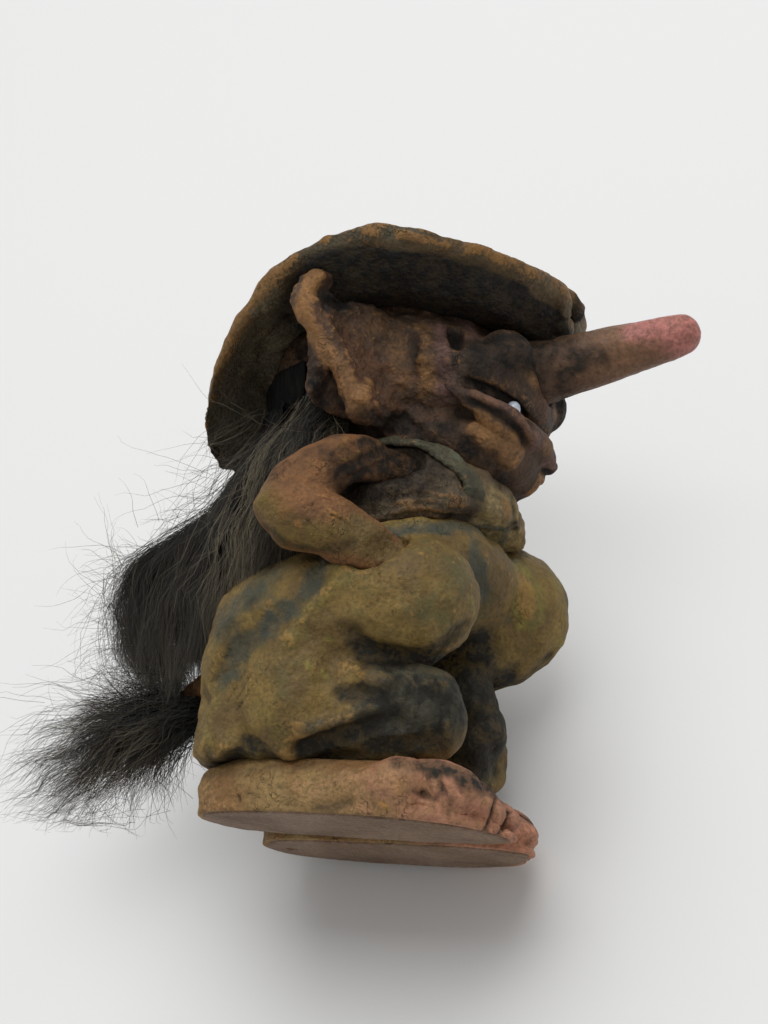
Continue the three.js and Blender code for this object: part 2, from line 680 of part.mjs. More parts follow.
function makeHat(grow = 0) {
  const brimMiddle = BRIM_LENGTH / 2 - BRIM_FRONT;
  const lift = BRIM_THICKNESS / 2 + grow;
  const angles = Array.from({ length: HAT_SIDES }, (_, i) => (2 * Math.PI * i) / HAT_SIDES);
  const seatHeight = (y) => mix(HAT_SEAT_HEIGHT, brimHeight(y), HAT_SEAT_TILT);
  const brimRing = ([reach, rise]) =>
    angles.map((angle) => {
      const wave = BRIM_WAVE * Math.sin(BRIM_WAVES * angle + THREE.MathUtils.degToRad(BRIM_WAVE_TURN));
      const innerX = (CROWN_WIDTH / 2) * Math.sin(angle);
      const innerY = (-CROWN_LENGTH / 2) * Math.cos(angle);
      const outerX = (BRIM_WIDTH / 2 + grow) * Math.sin(angle);
      const outerY = brimMiddle - (BRIM_LENGTH / 2 + grow) * Math.cos(angle);
      const z = mix(seatHeight(innerY), brimHeight(outerY) + wave, reach ** BRIM_FLARE);
      return new THREE.Vector3(mix(innerX, outerX, reach), mix(innerY, outerY, reach), z + rise * lift);
    });
  const crownRing = (rise) =>
    angles.map((angle) => {
      const shrink = Math.sqrt(1 - rise * rise);
      const x = (CROWN_WIDTH / 2 + grow) * shrink * Math.sin(angle);
      const y = -(CROWN_LENGTH / 2 + grow) * shrink * Math.cos(angle);
      const foot = seatHeight((-CROWN_LENGTH / 2) * Math.cos(angle)) + BRIM_THICKNESS / 2;
      return new THREE.Vector3(x, y, mix(foot, CROWN_TOP + grow, rise));
    });
  const rings = [...CROWN_RISES.map(crownRing), ...BRIM_SECTION.map(brimRing)];
  const first = new THREE.Vector3(0, 0, CROWN_TOP + grow);
  const last = new THREE.Vector3(0, 0, HAT_SEAT_HEIGHT);
  return stitch(rings, first, last);
}

function makeTail(grow = 0) {
  const root = [0, SEAT_BACK - PIN_DEPTH, TAIL_HEIGHT, TAIL_RADIUS];
  const middle = [0, SEAT_BACK, TAIL_HEIGHT, TAIL_RADIUS];
  const tip = [0, TAIL_REACH - TAIL_RADIUS / 2, TAIL_HEIGHT - TAIL_DROP, TAIL_RADIUS / 2];
  return limb([root, middle, tip], grow);
}

function makeTuft() {
  const stations = TUFT_STATIONS.map(([reach, drop, share]) => {
    const y = mix(SEAT_BACK, TUFT_REACH, reach);
    return [0, y, TAIL_HEIGHT - TAIL_DROP - drop * TUFT_DROP, TUFT_RADIUS * share];
  });
  return limb(stations, 0, 1, FUR_SIDES);
}

function makeHair(grow = 0) {
  const sweep = THREE.MathUtils.degToRad(HAIR_SWEEP);
  const shares = Array.from({ length: CURTAIN_POINTS }, (_, i) => (2 * i) / (CURTAIN_POINTS - 1) - 1);
  const rings = HAIR_STATIONS.map(([out, drop, share]) => {
    const place = (along, sense) => {
      const angle = sweep * along;
      const aside = along * along;
      const flare = out * HAIR_FLARE * mix(1, HAIR_SIDE_FLARE, aside);
      const length = HAIR_LENGTH * mix(1, HAIR_SIDE_LENGTH, aside);
      const z = mix(HAIR_ROOT_HEIGHT + grow, HAIR_ROOT_HEIGHT - length - grow, drop);
      const half = grow + (HAIR_THICKNESS / 2) * share * mix(1, HAIR_EDGE_SHARE, aside);
      const x = Math.sin(angle) * (SKULL_WIDTH / 2 + flare / 2 + sense * half);
      const y = Math.cos(angle) * (SKULL_LENGTH / 2 + sense * half) + flare;
      return new THREE.Vector3(x, y, z);
    };
    const outer = shares.map((along) => place(along, 1));
    const inner = shares.map((along) => place(along, -1)).reverse();
    return [...outer, ...inner];
  });
  return curtain(rings);
}

// Hide strip round the back of the skull that the hair grows from
function makeStrip(grow = 0) {
  const place = [0, 0, HEAD_HEIGHT];
  const size = [SKULL_WIDTH, SKULL_LENGTH, SKULL_TALL];
  const outer = ball(place, size, FIT_GAP + STRIP_THICKNESS + grow);
  const inner = ball(place, size, FIT_GAP - grow);
  const half = STRIP_HEIGHT / 2 + grow;
  const zone = block(
    [-BLOCK_SIZE, STRIP_FROM_MIDDLE - grow, HAIR_ROOT_HEIGHT - half],
    [BLOCK_SIZE, BLOCK_SIZE, HAIR_ROOT_HEIGHT + half],
  );
  return outer.subtract(inner).intersect(zone);
}

// Colour, roughness and metalness of each paint or stuff
const finish = (color, roughness, metalness = 0) => ({ color, roughness, metalness });
const FELT = finish(0x6a5530, 0.85);
const SKIN = finish(0x8a5c36, 0.75);
const PINK_SKIN = finish(0x9c6654, 0.7);
const SHIRT = finish(0x5d4630, 0.85);
const STRAP = finish(0x5f6452, 0.75);
const CLOTH = finish(0x776a38, 0.85);
const BARE_LATEX = finish(0x9a8676, 0.85);
const GLASS = finish(0x241608, 0.1);
const IVORY = finish(0xd5dbe0, 0.35);
const FUR = finish(0x24211d, 0.7);
const HIDE = finish(0x3a332b, 0.9);

// Neighbours grown by the fit gap, which the seats are cut with
const headSeat = makeHead(FIT_GAP);
const noseSeat = makeNose(FIT_GAP);
const hatSeat = makeHat(FIT_GAP);
const toothSeat = makeTooth(FIT_GAP);
const torsoSeat = makeTorso(FIT_GAP);
const seatSeat = makeSeat(FIT_GAP);
const tailSeat = makeTail(FIT_GAP);
const stripSeat = makeStrip(FIT_GAP);
const hairSeat = makeHair(FIT_GAP);
const eyeSeats = BOTH.map((side) => makeEye(side, FIT_GAP));
const earSeats = BOTH.map((side) => makeEar(side, FIT_GAP));
const armSeats = BOTH.map((side) => makeArm(side, FIT_GAP));
const legSeats = BOTH.map((side) => makeLeg(side, FIT_GAP));
const footSeats = BOTH.map((side) => makeFoot(side, FIT_GAP));
const braceSeats = BOTH.map((side) => makeBrace(side, FIT_GAP));
const belowWaist = below(WAIST_HEIGHT, -WAIST_SLOPE);
const belowWaistSeat = below(WAIST_HEIGHT + FIT_GAP, -WAIST_SLOPE);
const belowHem = below(FOOT_HEIGHT - FIT_GAP);
const bodySeats = [torsoSeat, seatSeat, tailSeat, ...armSeats, ...legSeats, ...braceSeats];

const rightLeg = cut(makeLeg(RIGHT), belowHem, ...footSeats, armSeats[0], legSeats[1]);
const leftLeg = cut(makeLeg(LEFT), belowHem, ...footSeats, armSeats[1]);
const waistSocket = makeWaistPin(FIT_GAP);
const trousers = cut(makeSeat().intersect(belowWaist), waistSocket, tailSeat, ...legSeats, ...armSeats);
const chest = join(cut(makeTorso(), belowWaistSeat), makeWaistPin());
const torso = cut(chest, headSeat, ...armSeats, ...legSeats);
const strapSeats = [headSeat, belowWaistSeat, ...armSeats, ...earSeats, ...legSeats];
const hair = cut(makeHair(), headSeat, hatSeat, stripSeat, ...earSeats, ...bodySeats);

const pieces = [
  ["hat", FELT, cut(makeHat(), headSeat)],
  ["head", SKIN, cut(makeHead(), makeMouth(), noseSeat, toothSeat, ...eyeSeats, ...earSeats)],
  ["nose", PINK_SKIN, cut(makeNose(), hatSeat)],
  ["tooth", IVORY, makeTooth()],
  ["right_eye", GLASS, cut(makeEye(RIGHT), noseSeat, hatSeat)],
  ["left_eye", GLASS, cut(makeEye(LEFT), noseSeat, hatSeat)],
  ["right_ear", SKIN, cut(makeEar(RIGHT), hatSeat)],
  ["left_ear", SKIN, cut(makeEar(LEFT), hatSeat)],
  ["hair", FUR, hair],
  ["hair_strip", HIDE, cut(makeStrip(), hatSeat, ...earSeats)],
  ["torso", SHIRT, torso],
  ["right_brace", STRAP, cut(makeBrace(RIGHT), ...strapSeats)],
  ["left_brace", STRAP, cut(makeBrace(LEFT), ...strapSeats)],
  ["right_arm", SKIN, cut(makeArm(RIGHT), ...earSeats)],
  ["left_arm", SKIN, cut(makeArm(LEFT), ...earSeats)],
  ["trousers", CLOTH, trousers],
  ["right_trouser_leg", CLOTH, rightLeg],
  ["left_trouser_leg", CLOTH, leftLeg],
  ["right_foot", PINK_SKIN, makeFoot(RIGHT)],
  ["left_foot", PINK_SKIN, makeFoot(LEFT)],
  ["right_sole", BARE_LATEX, makeSole(RIGHT)],
  ["left_sole", BARE_LATEX, cut(makeSole(LEFT), makeVent())],
  ["tail", SKIN, makeTail()],
  ["tail_tuft", FUR, cut(makeTuft(), tailSeat, hairSeat, seatSeat, ...legSeats)],
];

// One named mesh of a finished solid
function meshOf([name, look, solid]) {
  const data = solid.getMesh();
  const geometry = new THREE.BufferGeometry();
  geometry.setAttribute("position", new THREE.BufferAttribute(data.vertProperties, 3));
  geometry.setIndex(new THREE.BufferAttribute(data.triVerts, 1));
  geometry.computeVertexNormals();
  const mesh = new THREE.Mesh(geometry, new THREE.MeshStandardMaterial(look));
  mesh.name = name;
  return mesh;
}

const figurine = new THREE.Group();
figurine.add(...pieces.map(meshOf));

// The origin is the middle of the ground under the figure
const bounds = new THREE.Box3().setFromObject(figurine);
const middle = bounds.getCenter(new THREE.Vector3());
figurine.position.set(-middle.x, -middle.y, -bounds.min.z);

export default figurine;
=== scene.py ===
"""Dresses the squat long-nosed folk ornament: cast and painted latex body, felt-like hat, fur hair and tail."""

import itertools
import logging
import math
from dataclasses import dataclass, field
from enum import Enum
from typing import Iterable, Sequence, Union

import bmesh
import bpy
import numpy as np
from mathutils import Matrix, Vector
from mathutils.bvhtree import BVHTree
from mathutils.kdtree import KDTree


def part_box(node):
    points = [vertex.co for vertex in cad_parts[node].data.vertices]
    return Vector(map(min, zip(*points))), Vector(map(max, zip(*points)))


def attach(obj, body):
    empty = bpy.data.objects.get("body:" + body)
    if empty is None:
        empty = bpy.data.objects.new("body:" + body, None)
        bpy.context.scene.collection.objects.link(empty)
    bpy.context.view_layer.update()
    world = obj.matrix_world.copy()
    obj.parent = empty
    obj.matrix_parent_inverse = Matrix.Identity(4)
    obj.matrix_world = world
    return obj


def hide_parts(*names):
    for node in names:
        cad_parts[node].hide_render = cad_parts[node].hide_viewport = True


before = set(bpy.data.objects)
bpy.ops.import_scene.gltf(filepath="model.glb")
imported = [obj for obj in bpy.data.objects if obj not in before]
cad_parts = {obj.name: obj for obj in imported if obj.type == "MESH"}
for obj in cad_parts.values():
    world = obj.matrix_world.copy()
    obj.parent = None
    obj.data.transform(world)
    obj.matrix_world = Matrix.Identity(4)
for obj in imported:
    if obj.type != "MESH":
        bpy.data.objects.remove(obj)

Grid = np.ndarray
Colour = tuple[float, float, float]
Pixel = tuple[float, float]
Number = Union[int, float]
Shade = tuple[int, int, int]
Grains = Sequence[tuple[float, float, int]]
Span = tuple[float, float]
Place = tuple[float, float, float]

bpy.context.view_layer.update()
BODY = "root"
SIDES = ("right", "left")
MM = 0.001
SEED = 20
# The nose tip lies this far before the ears, which places the figure in the frame.
NOSE_REACH = 64.5
BACK_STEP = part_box("nose")[0][1] / MM + NOSE_REACH

log = logging.getLogger("ornament")


def to_figure(points: Grid) -> Grid:
    """Turns frame metres into figure millimetres, measured from between the ears.

    Args:
        points: places in the frame, one a row.

    Returns:
        The same places in figure millimetres.
    """
    return points / MM - np.array((0.0, BACK_STEP, 0.0))


def to_frame(points: Grid) -> Grid:
    """Turns figure millimetres into frame metres.

    Args:
        points: places in figure millimetres, one a row.

    Returns:
        The same places in the frame.
    """
    return (points + np.array((0.0, BACK_STEP, 0.0))) * MM


def ease(values: Grid, low: float, high: float) -> Grid:
    """Rises smoothly from 0 at low to 1 at high.

    Args:
        values: numbers to map.
        low: where the rise starts.
        high: where it ends.

    Returns:
        The eased shares.
    """
    share = np.clip((values - low) / (high - low), 0.0, 1.0)
    return share * share * (3.0 - 2.0 * share)


def lumps(points: Grid, size: float, seed: int) -> Grid:
    """Smooth random lumps from -1 to 1, the same on every run.

    Args:
        points: places in millimetres.
        size: distance between lumps.
        seed: which pattern.

    Returns:
        One value for each place.
    """
    cell = points / size + seed * 17.31
    base = np.floor(cell).astype(np.int64)
    share = cell - base
    share = share * share * (3.0 - 2.0 * share)
    total = np.zeros(len(points))
    for corner in itertools.product((0, 1), repeat=3):
        at = base + np.array(corner)
        mixed = (at[:, 0] * 73856093) ^ (at[:, 1] * 19349663) ^ (at[:, 2] * 83492791) ^ (seed * 6971)
        mixed = ((mixed ^ (mixed >> 13)) * 1274126177) & 0x7FFFFFFF
        value = ((mixed ^ (mixed >> 16)) & 0xFFFF) / 32767.5 - 1.0
        total += value * np.prod(np.where(corner, share, 1.0 - share), axis=1)
    return total


def rough(points: Grid, size: float, seed: int, steps: int = 3) -> Grid:
    """Lumps with finer lumps on them.

    Args:
        points: places in millimetres.
        size: distance between the largest lumps.
        seed: which pattern.
        steps: how many sizes are added up.

    Returns:
        One value for each place, about -1 to 1.
    """
    return sum(lumps(points, size / 2.0 ** step, seed + step) / 2.0 ** step for step in range(steps)) / 1.6


def linear(shade: Shade) -> Colour:
    """A paint's colour as seen, 0 to 255 a channel, as the linear light that shaders use."""
    return tuple(((c / 255 + 0.055) / 1.055) ** 2.4 if c > 10 else c / 255 / 12.92 for c in shade)


class Layer(Enum):
    """The brushed layers over a ground coat, by attribute name. The wash also lays painted shade where shade
    falls, and the tint lays the near-black painted shade under the hat's brim.
    """

    WASH = "wash"
    LIGHT = "light"
    TINT = "tint"
    MOSS = "moss"


WASH, LIGHT, TINT, MOSS = Layer


@dataclass(frozen=True)
class Sight:
    """The camera: where it stands, how it is turned and how wide it sees."""

    yaw: float = 24.0
    pitch: float = 21.0
    roll: float = 8.0
    distance: float = 400.0
    target: Place = (0.0, 0.0, 70.0)
    focal: float = 1900.0
    width: float = 768.0
    height: float = 1024.0
    sensor: float = 36.0

    def axes(self) -> tuple[Grid, Grid, Grid]:
        """Right, up and forward of the picture, in the figure."""
        yaw, pitch, roll = (math.radians(turn) for turn in (self.yaw, self.pitch, self.roll))
        forward = np.array((math.cos(pitch) * math.cos(yaw), math.cos(pitch) * math.sin(yaw), math.sin(pitch)))
        level = np.array((math.sin(yaw), -math.cos(yaw), 0.0))
        rise = np.cross(level, forward)
        right = math.cos(roll) * level + math.sin(roll) * rise
        return right, math.cos(roll) * rise - math.sin(roll) * level, forward

    def eye(self) -> Grid:
        """The camera's place in figure millimetres."""
        return np.array(self.target) - self.distance * self.axes()[2]

    def ray(self, spot: Pixel) -> Grid:
        """The direction in which a spot of the picture lies."""
        right, rise, forward = self.axes()
        across, down = spot[0] - self.width / 2, spot[1] - self.height / 2
        way = forward + right * across / self.focal - rise * down / self.focal
        return way / np.linalg.norm(way)

    def build(self) -> None:
        """Makes the camera and gives it to the scene."""
        data = bpy.data.cameras.new("camera")
        data.lens = self.sensor * self.focal / self.height
        data.sensor_width = self.sensor
        data.clip_start = 0.01
        right, rise, forward = self.axes()
        turn = Matrix((right, rise, -forward)).transposed().to_4x4()
        turn.translation = Vector(to_frame(self.eye()))
        camera = bpy.data.objects.new("camera", data)
        camera.matrix_world = turn
        bpy.context.scene.collection.objects.link(camera)
        bpy.context.scene.camera = camera


@dataclass(frozen=True)
class Mark:
    """One stroke of the modelling tool or the brush, along a line in the picture."""

    path: tuple[Pixel, ...]
    width: float
    lift: float = 0.0
    layer: Union[Layer, None] = None
    amount: float = 0.0
    ragged: float = 0.0
    taper: float = 0.0


class Clay:
    """A closed surface that is shaped and painted point by point, in figure millimetres."""

    # A stroke isn't drawn across a gap wider than this, and a fused seam is filled this often.
    JUMP = 6.0
    FILLINGS = 3
    # A ragged stroke breaks up in lumps of this size and pattern, and a layer holds this much paint.
    RAGGED_SIZE = 2.2
    RAGGED_SEED = 5
    PAINT_LIMITS = (-1.0, 2.0)

    def __init__(self, name: str, points: Grid, faces: Grid, edges: Grid) -> None:
        """Takes over a surface of four-sided faces."""
        self.name = name
        self.points = points
        self.faces = faces
        self.edges = edges
        self.degree = np.bincount(edges.ravel(), minlength=len(points)).astype(float)
        self.layers: dict[Layer, Grid] = {layer: np.zeros(len(points)) for layer in Layer}
        self.nodes: tuple[str, ...] = (name,)

    @classmethod
    def fused(cls, name: str, clays: Sequence["Clay"], voxel: float, reach: float) -> "Clay":
        """Joins castings that touch into one skin and rounds the creases where they meet.

        Args:
            name: the skin's name.
            clays: the castings.
            voxel: face size in millimetres.
            reach: how far from a seam the rounding goes.

        Returns:
            The skin, which stands for all the castings' solids.
        """
        skin = cls.evened(name, joined(clays), voxel)
        skin.nodes = tuple(clay.name for clay in clays)
        trees = [tree_of(clay.points[::3]) for clay in clays]
        second = np.array([sorted(tree.find(point)[2] for tree in trees)[1] for point in skin.points])
        seam = skin.blurred(ease(reach - second, 0.0, reach * 0.7), 6)
        for _ in range(cls.FILLINGS):
            outward = skin.normals()
            fill = np.einsum("ij,ij->i", skin.blurred(skin.points, 36) - skin.points, outward)
            skin.points = skin.points + outward * (np.maximum(fill, 0.0) * seam)[:, None]
        skin.points = skin.points + (skin.blurred(skin.points, 12) - skin.points) * seam[:, None]
        return skin

    @classmethod
    def cast(cls, node: str, voxel: float, swell: float = 0.2, blur: int = 14) -> "Clay":
        """Takes a cast of a solid, with even small faces and its facets rounded off.

        Args:
            node: the solid's name.
            voxel: face size in millimetres.
            swell: how far the skin grows to close the fitting gap.
            blur: rounds of smoothing.

        Returns:
            The cast surface.
        """
        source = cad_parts[node]
        welded = bmesh.new()
        welded.from_mesh(source.data)
        welded.transform(source.matrix_world)
        bmesh.ops.remove_doubles(welded, verts=welded.verts, dist=1e-7)
        mesh = bpy.data.meshes.new(f"{node}_blank")
        welded.to_mesh(mesh)
        welded.free()
        clay = cls.evened(node, mesh, voxel)
        clay.points = clay.blurred(clay.points, blur)
        clay.points = clay.points + clay.normals() * swell
        return clay

    @classmethod
    def evened(cls, name: str, mesh: bpy.types.Mesh, voxel: float) -> "Clay":
        """Makes a surface of small even faces from a mesh, which is used up.

        Args:
            name: the surface's name.
            mesh: closed mesh in the frame.
            voxel: face size in millimetres.

        Returns:
            The surface.
        """
        blank = bpy.data.objects.new(f"{name}_blank", mesh)
        bpy.context.scene.collection.objects.link(blank)
        even = blank.modifiers.new("even_faces", "REMESH")
        even.mode = "VOXEL"
        even.voxel_size = voxel * MM
        made = bpy.data.meshes.new_from_object(blank.evaluated_get(bpy.context.evaluated_depsgraph_get()))
        points = np.empty(len(made.vertices) * 3)
        made.vertices.foreach_get("co", points)
        corners = np.empty(len(made.loops), dtype=np.int64)
        made.loops.foreach_get("vertex_index", corners)
        edges = np.empty(len(made.edges) * 2, dtype=np.int64)
        made.edges.foreach_get("vertices", edges)
        bpy.data.objects.remove(blank)
        bpy.data.meshes.remove(mesh)
        bpy.data.meshes.remove(made)
        return cls(name, to_figure(points.reshape(-1, 3)), corners.reshape(-1, 4), edges.reshape(-1, 2))

    def blurred(self, values: Grid, times: int, share: float = 0.5) -> Grid:
        """Values drawn towards the mean of their neighbours.

        Args:
            values: one number or one row for each point.
            times: how often.
            share: how far each time.

        Returns:
            The blurred values.
        """
        rows = values.reshape(len(values), -1).copy()
        first, second = self.edges[:, 0], self.edges[:, 1]
        count = len(rows)
        for _ in range(times):
            for column in range(rows.shape[1]):
                near = np.bincount(first, rows[second, column], count)
                near += np.bincount(second, rows[first, column], count)
                rows[:, column] += share * (near / self.degree - rows[:, column])
        return rows.reshape(values.shape)

    def normals(self) -> Grid:
        """The outward direction at each point."""
        corner = [self.points[self.faces[:, side]] for side in range(4)]
        across = np.cross(corner[2] - corner[0], corner[3] - corner[1])
        total = np.zeros_like(self.points)
        for side, axis in itertools.product(range(4), range(3)):
            total[:, axis] += np.bincount(self.faces[:, side], across[:, axis], len(total))
        return total / np.maximum(np.linalg.norm(total, axis=1, keepdims=True), 1e-12)

    def tree(self) -> BVHTree:
        """A search tree of the surface."""
        return BVHTree.FromPolygons(self.points.tolist(), self.faces.tolist())

    def near(self, path: Grid, width: float) -> tuple[Grid, Grid, Grid]:
        """The points within a width of a line.

        Args:
            path: the line's points.
            width: how far it reaches.

        Returns:
            The points' numbers, how near each is, from 0 at the width to 1 on the line,
            and its share of the way along.
        """
        inside = np.all((self.points > path.min(0) - width) & (self.points < path.max(0) + width), axis=1)
        chosen = np.flatnonzero(inside)
        at = self.points[chosen]
        best = np.full(len(chosen), width)
        along = np.full(len(chosen), 0.5)
        ends = path if len(path) > 1 else np.vstack((path, path + 1e-4))
        for number, (start, stop) in enumerate(zip(ends[:-1], ends[1:])):
            way = stop - start
            if way @ way > self.JUMP ** 2:
                continue
            share = np.clip((at - start) @ way / max(way @ way, 1e-9), 0.0, 1.0)
            apart = np.linalg.norm(at - start - share[:, None] * way, axis=1)
            along = np.where(apart < best, (number + share) / (len(ends) - 1), along)
            best = np.minimum(best, apart)
        return chosen, 1.0 - best / width, along

    def stroke(self, path: Grid, mark: Mark) -> None:
        """Presses or raises the surface along a line, and brushes a layer there.

        Args:
            path: the line in the figure.
            mark: what the stroke does.
        """
        chosen, share, along = self.near(path, mark.width)
        if not len(chosen):
            return
        weight = ease(share, 0.0, 1.0)
        if mark.taper:
            weight = weight * ease(np.minimum(along, 1.0 - along), 0.0, mark.taper)
        if mark.lift:
            self.points[chosen] += self.normals()[chosen] * (weight * mark.lift)[:, None]
        if mark.layer is not None:
            if mark.ragged:
                broken = rough(self.points[chosen], self.RAGGED_SIZE, self.RAGGED_SEED) * mark.ragged
                weight = np.clip(weight + broken * (weight > 0.02), 0.0, 1.0) * (share > 0)
            layer = self.layers[mark.layer]
            layer[chosen] = np.clip(layer[chosen] + weight * mark.amount, *self.PAINT_LIMITS)

    def soften(self, path: Grid, width: float, times: int) -> None:
        """Smooths the surface near a line.

        Args:
            path: the line in the figure.
            width: how far it reaches.
            times: rounds of smoothing.
        """
        chosen, share, _ = self.near(path, width)
        soft = self.blurred(self.points, times)
        self.points[chosen] += (soft[chosen] - self.points[chosen]) * ease(share, 0.0, 0.6)[:, None]

    def roughen(self, grains: Grains, where: Union[Grid, float] = 1.0) -> None:
        """Lays uneven lumps over the surface.

        Args:
            grains: for each kind, the distance between lumps, how far they stand out, and which pattern.
            where: share of the depth at each point.
        """
        for size, depth, seed in grains:
            height = rough(self.points, size, SEED + seed) * depth
            self.points = self.points + self.normals() * (height * where)[:, None]

    def relief(self, times: int) -> Grid:
        """How far each point stands above (+) or below (-) its blurred surroundings, in millimetres."""
        return np.einsum("ij,ij->i", self.points - self.blurred(self.points, times), self.normals())

    def mesh(self) -> bpy.types.Mesh:
        """The surface as a mesh in the frame, with its paint layers as attributes."""
        mesh = bpy.data.meshes.new(self.name)
        mesh.from_pydata(to_frame(self.points).tolist(), [], self.faces.tolist())
        for layer, values in self.layers.items():
            mesh.attributes.new(layer.value, "FLOAT", "POINT").data.foreach_set("value", np.clip(values, 0, 2))
        mesh.polygons.foreach_set("use_smooth", np.ones(len(mesh.polygons), dtype=bool))
        mesh.update()
        return mesh


def joined(clays: Sequence[Clay]) -> bpy.types.Mesh:
    """Several surfaces as one mesh in the frame."""
    starts = np.cumsum([0] + [len(clay.points) for clay in clays])
    faces = np.vstack([clay.faces + start for clay, start in zip(clays, starts)])
    mesh = bpy.data.meshes.new("joined")
    mesh.from_pydata(to_frame(np.vstack([clay.points for clay in clays])).tolist(), [], faces.tolist())
    return mesh


def fill_seams(clays: Sequence[Clay], reach: float, rounds: int = 40, share: float = 0.9) -> None:
    """Fills the creases where neighbouring castings meet, so that they look like one skin.

    Args:
        clays: the castings that meet.
        reach: how far from the seam the filling goes.
        rounds: how round the filling is.
        share: how much of the crease is filled.
    """
    whole = Clay.evened("seams", joined(clays), 0.8)
    outward = whole.normals()
    fill = np.einsum("ij,ij->i", whole.blurred(whole.points, rounds) - whole.points, outward)
    move = whole.blurred(outward * np.maximum(fill, 0.0)[:, None] * share, 3)
    whole_tree = tree_of(whole.points)
    trees = [tree_of(clay.points[::3]) for clay in clays]
    for number, clay in enumerate(clays):
        others = [tree for other, tree in enumerate(trees) if other != number]
        near = np.array([min(tree.find(point)[2] for tree in others) for point in clay.points])
        chosen = np.flatnonzero(near < reach)
        shift = np.zeros_like(clay.points)
        for index in chosen:
            _, nearest, apart = whole_tree.find(clay.points[index])
            shift[index] = move[nearest] * max(0.0, 1.0 - apart / reach) ** 0.5
        weight = ease(reach - near, 0.0, 0.6 * reach)
        clay.points = clay.points + clay.blurred(shift * weight[:, None], 3)


def tree_of(points: Grid) -> KDTree:
    """A search tree of loose points."""
    tree = KDTree(len(points))
    for number, point in enumerate(points):
        tree.insert(point, number)
    tree.balance()
    return tree


class Shelter:
    """How closed in each place on the figure is, measured with short rays against the solids."""

    # Each ray is turned this far from the last, and starts this far off the surface, in millimetres.
    GOLDEN_TURN = 2.39996
    STANDOFF = 0.9

    def __init__(self, nodes: Iterable[str], reach: float = 13.0, rays: int = 18) -> None:
        """Gathers the solids that stand in the way."""
        points: list = []
        faces: list = []
        for node in nodes:
            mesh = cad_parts[node].data
            start = len(points)
            points += [vertex.co / MM - Vector((0, BACK_STEP, 0)) for vertex in mesh.vertices]
            faces += [[start + corner for corner in polygon.vertices] for polygon in mesh.polygons]
        self.tree = BVHTree.FromPolygons(points, faces)
        self.reach = reach
        turns = np.arange(rays) * self.GOLDEN_TURN
        lift = np.sqrt(1.0 - (np.arange(rays) + 0.5) / rays)
        flat = np.sqrt(1.0 - lift * lift)
        self.ways = np.stack((flat * np.cos(turns), flat * np.sin(turns), lift), axis=1)

    def measure(self, clay: Clay, samples: int = 2600) -> Grid:
        """Measures a surface.

        Args:
            clay: the surface.
            samples: how many of its points are tried.

        Returns:
            For each point, 0 in the open to 1 in a deep fold.
        """
        step = max(1, len(clay.points) // samples)
        chosen = np.arange(0, len(clay.points), step)
        normals = clay.normals()[chosen]
        starts = clay.points[chosen] + normals * self.STANDOFF
        side = np.cross(normals, np.where(np.abs(normals[:, 2:]) < 0.9, (0.0, 0.0, 1.0), (1.0, 0.0, 0.0)))
        side /= np.linalg.norm(side, axis=1, keepdims=True)
        other = np.cross(normals, side)
        closed = np.zeros(len(chosen))
        for number, start in enumerate(starts):
            for way in self.ways:
                aim = side[number] * way[0] + other[number] * way[1] + normals[number] * way[2]
                found = self.tree.ray_cast(start, aim, self.reach)[3]
                if found is not None:
                    closed[number] += 1.0 - 0.5 * found / self.reach
        tried = tree_of(starts)
        nearest = np.array([tried.find(point)[1] for point in clay.points])
        return clay.blurred(closed[nearest] / len(self.ways), 14)


class Tap:
    """A shader socket on which Python's operators work, each adding a Math node."""

    def __init__(self, bench: "Bench", socket: bpy.types.NodeSocket) -> None:
        """Wraps one output socket."""
        self.bench = bench
        self.socket = socket

    def _math(self, operation: str, first: Union["Tap", Number], second: Union["Tap", Number]) -> "Tap":
        """Adds one Math node."""
        return self.bench.node("ShaderNodeMath", {"operation": operation}, {0: first, 1: second})

    def __add__(self, other: Union["Tap", Number]) -> "Tap":
        """Sum."""
        return self._math("ADD", self, other)

    def __radd__(self, other: Number) -> "Tap":
        """Sum with a number in front."""
        return self._math("ADD", other, self)

    def __sub__(self, other: Union["Tap", Number]) -> "Tap":
        """Difference."""
        return self._math("SUBTRACT", self, other)

    def __rsub__(self, other: Number) -> "Tap":
        """Difference from a number."""
        return self._math("SUBTRACT", other, self)

    def __mul__(self, other: Union["Tap", Number]) -> "Tap":
        """Product."""
        return self._math("MULTIPLY", self, other)

    def __rmul__(self, other: Number) -> "Tap":
        """Product with a number in front."""
        return self._math("MULTIPLY", other, self)

    def eased(self, low: float, high: float) -> "Tap":
        """Rises smoothly from 0 at low to 1 at high."""
        return self.bench.node(
            "ShaderNodeMapRange",
            {"interpolation_type": "SMOOTHSTEP"},
            {"Value": self, "From Min": low, "From Max": high},
        )


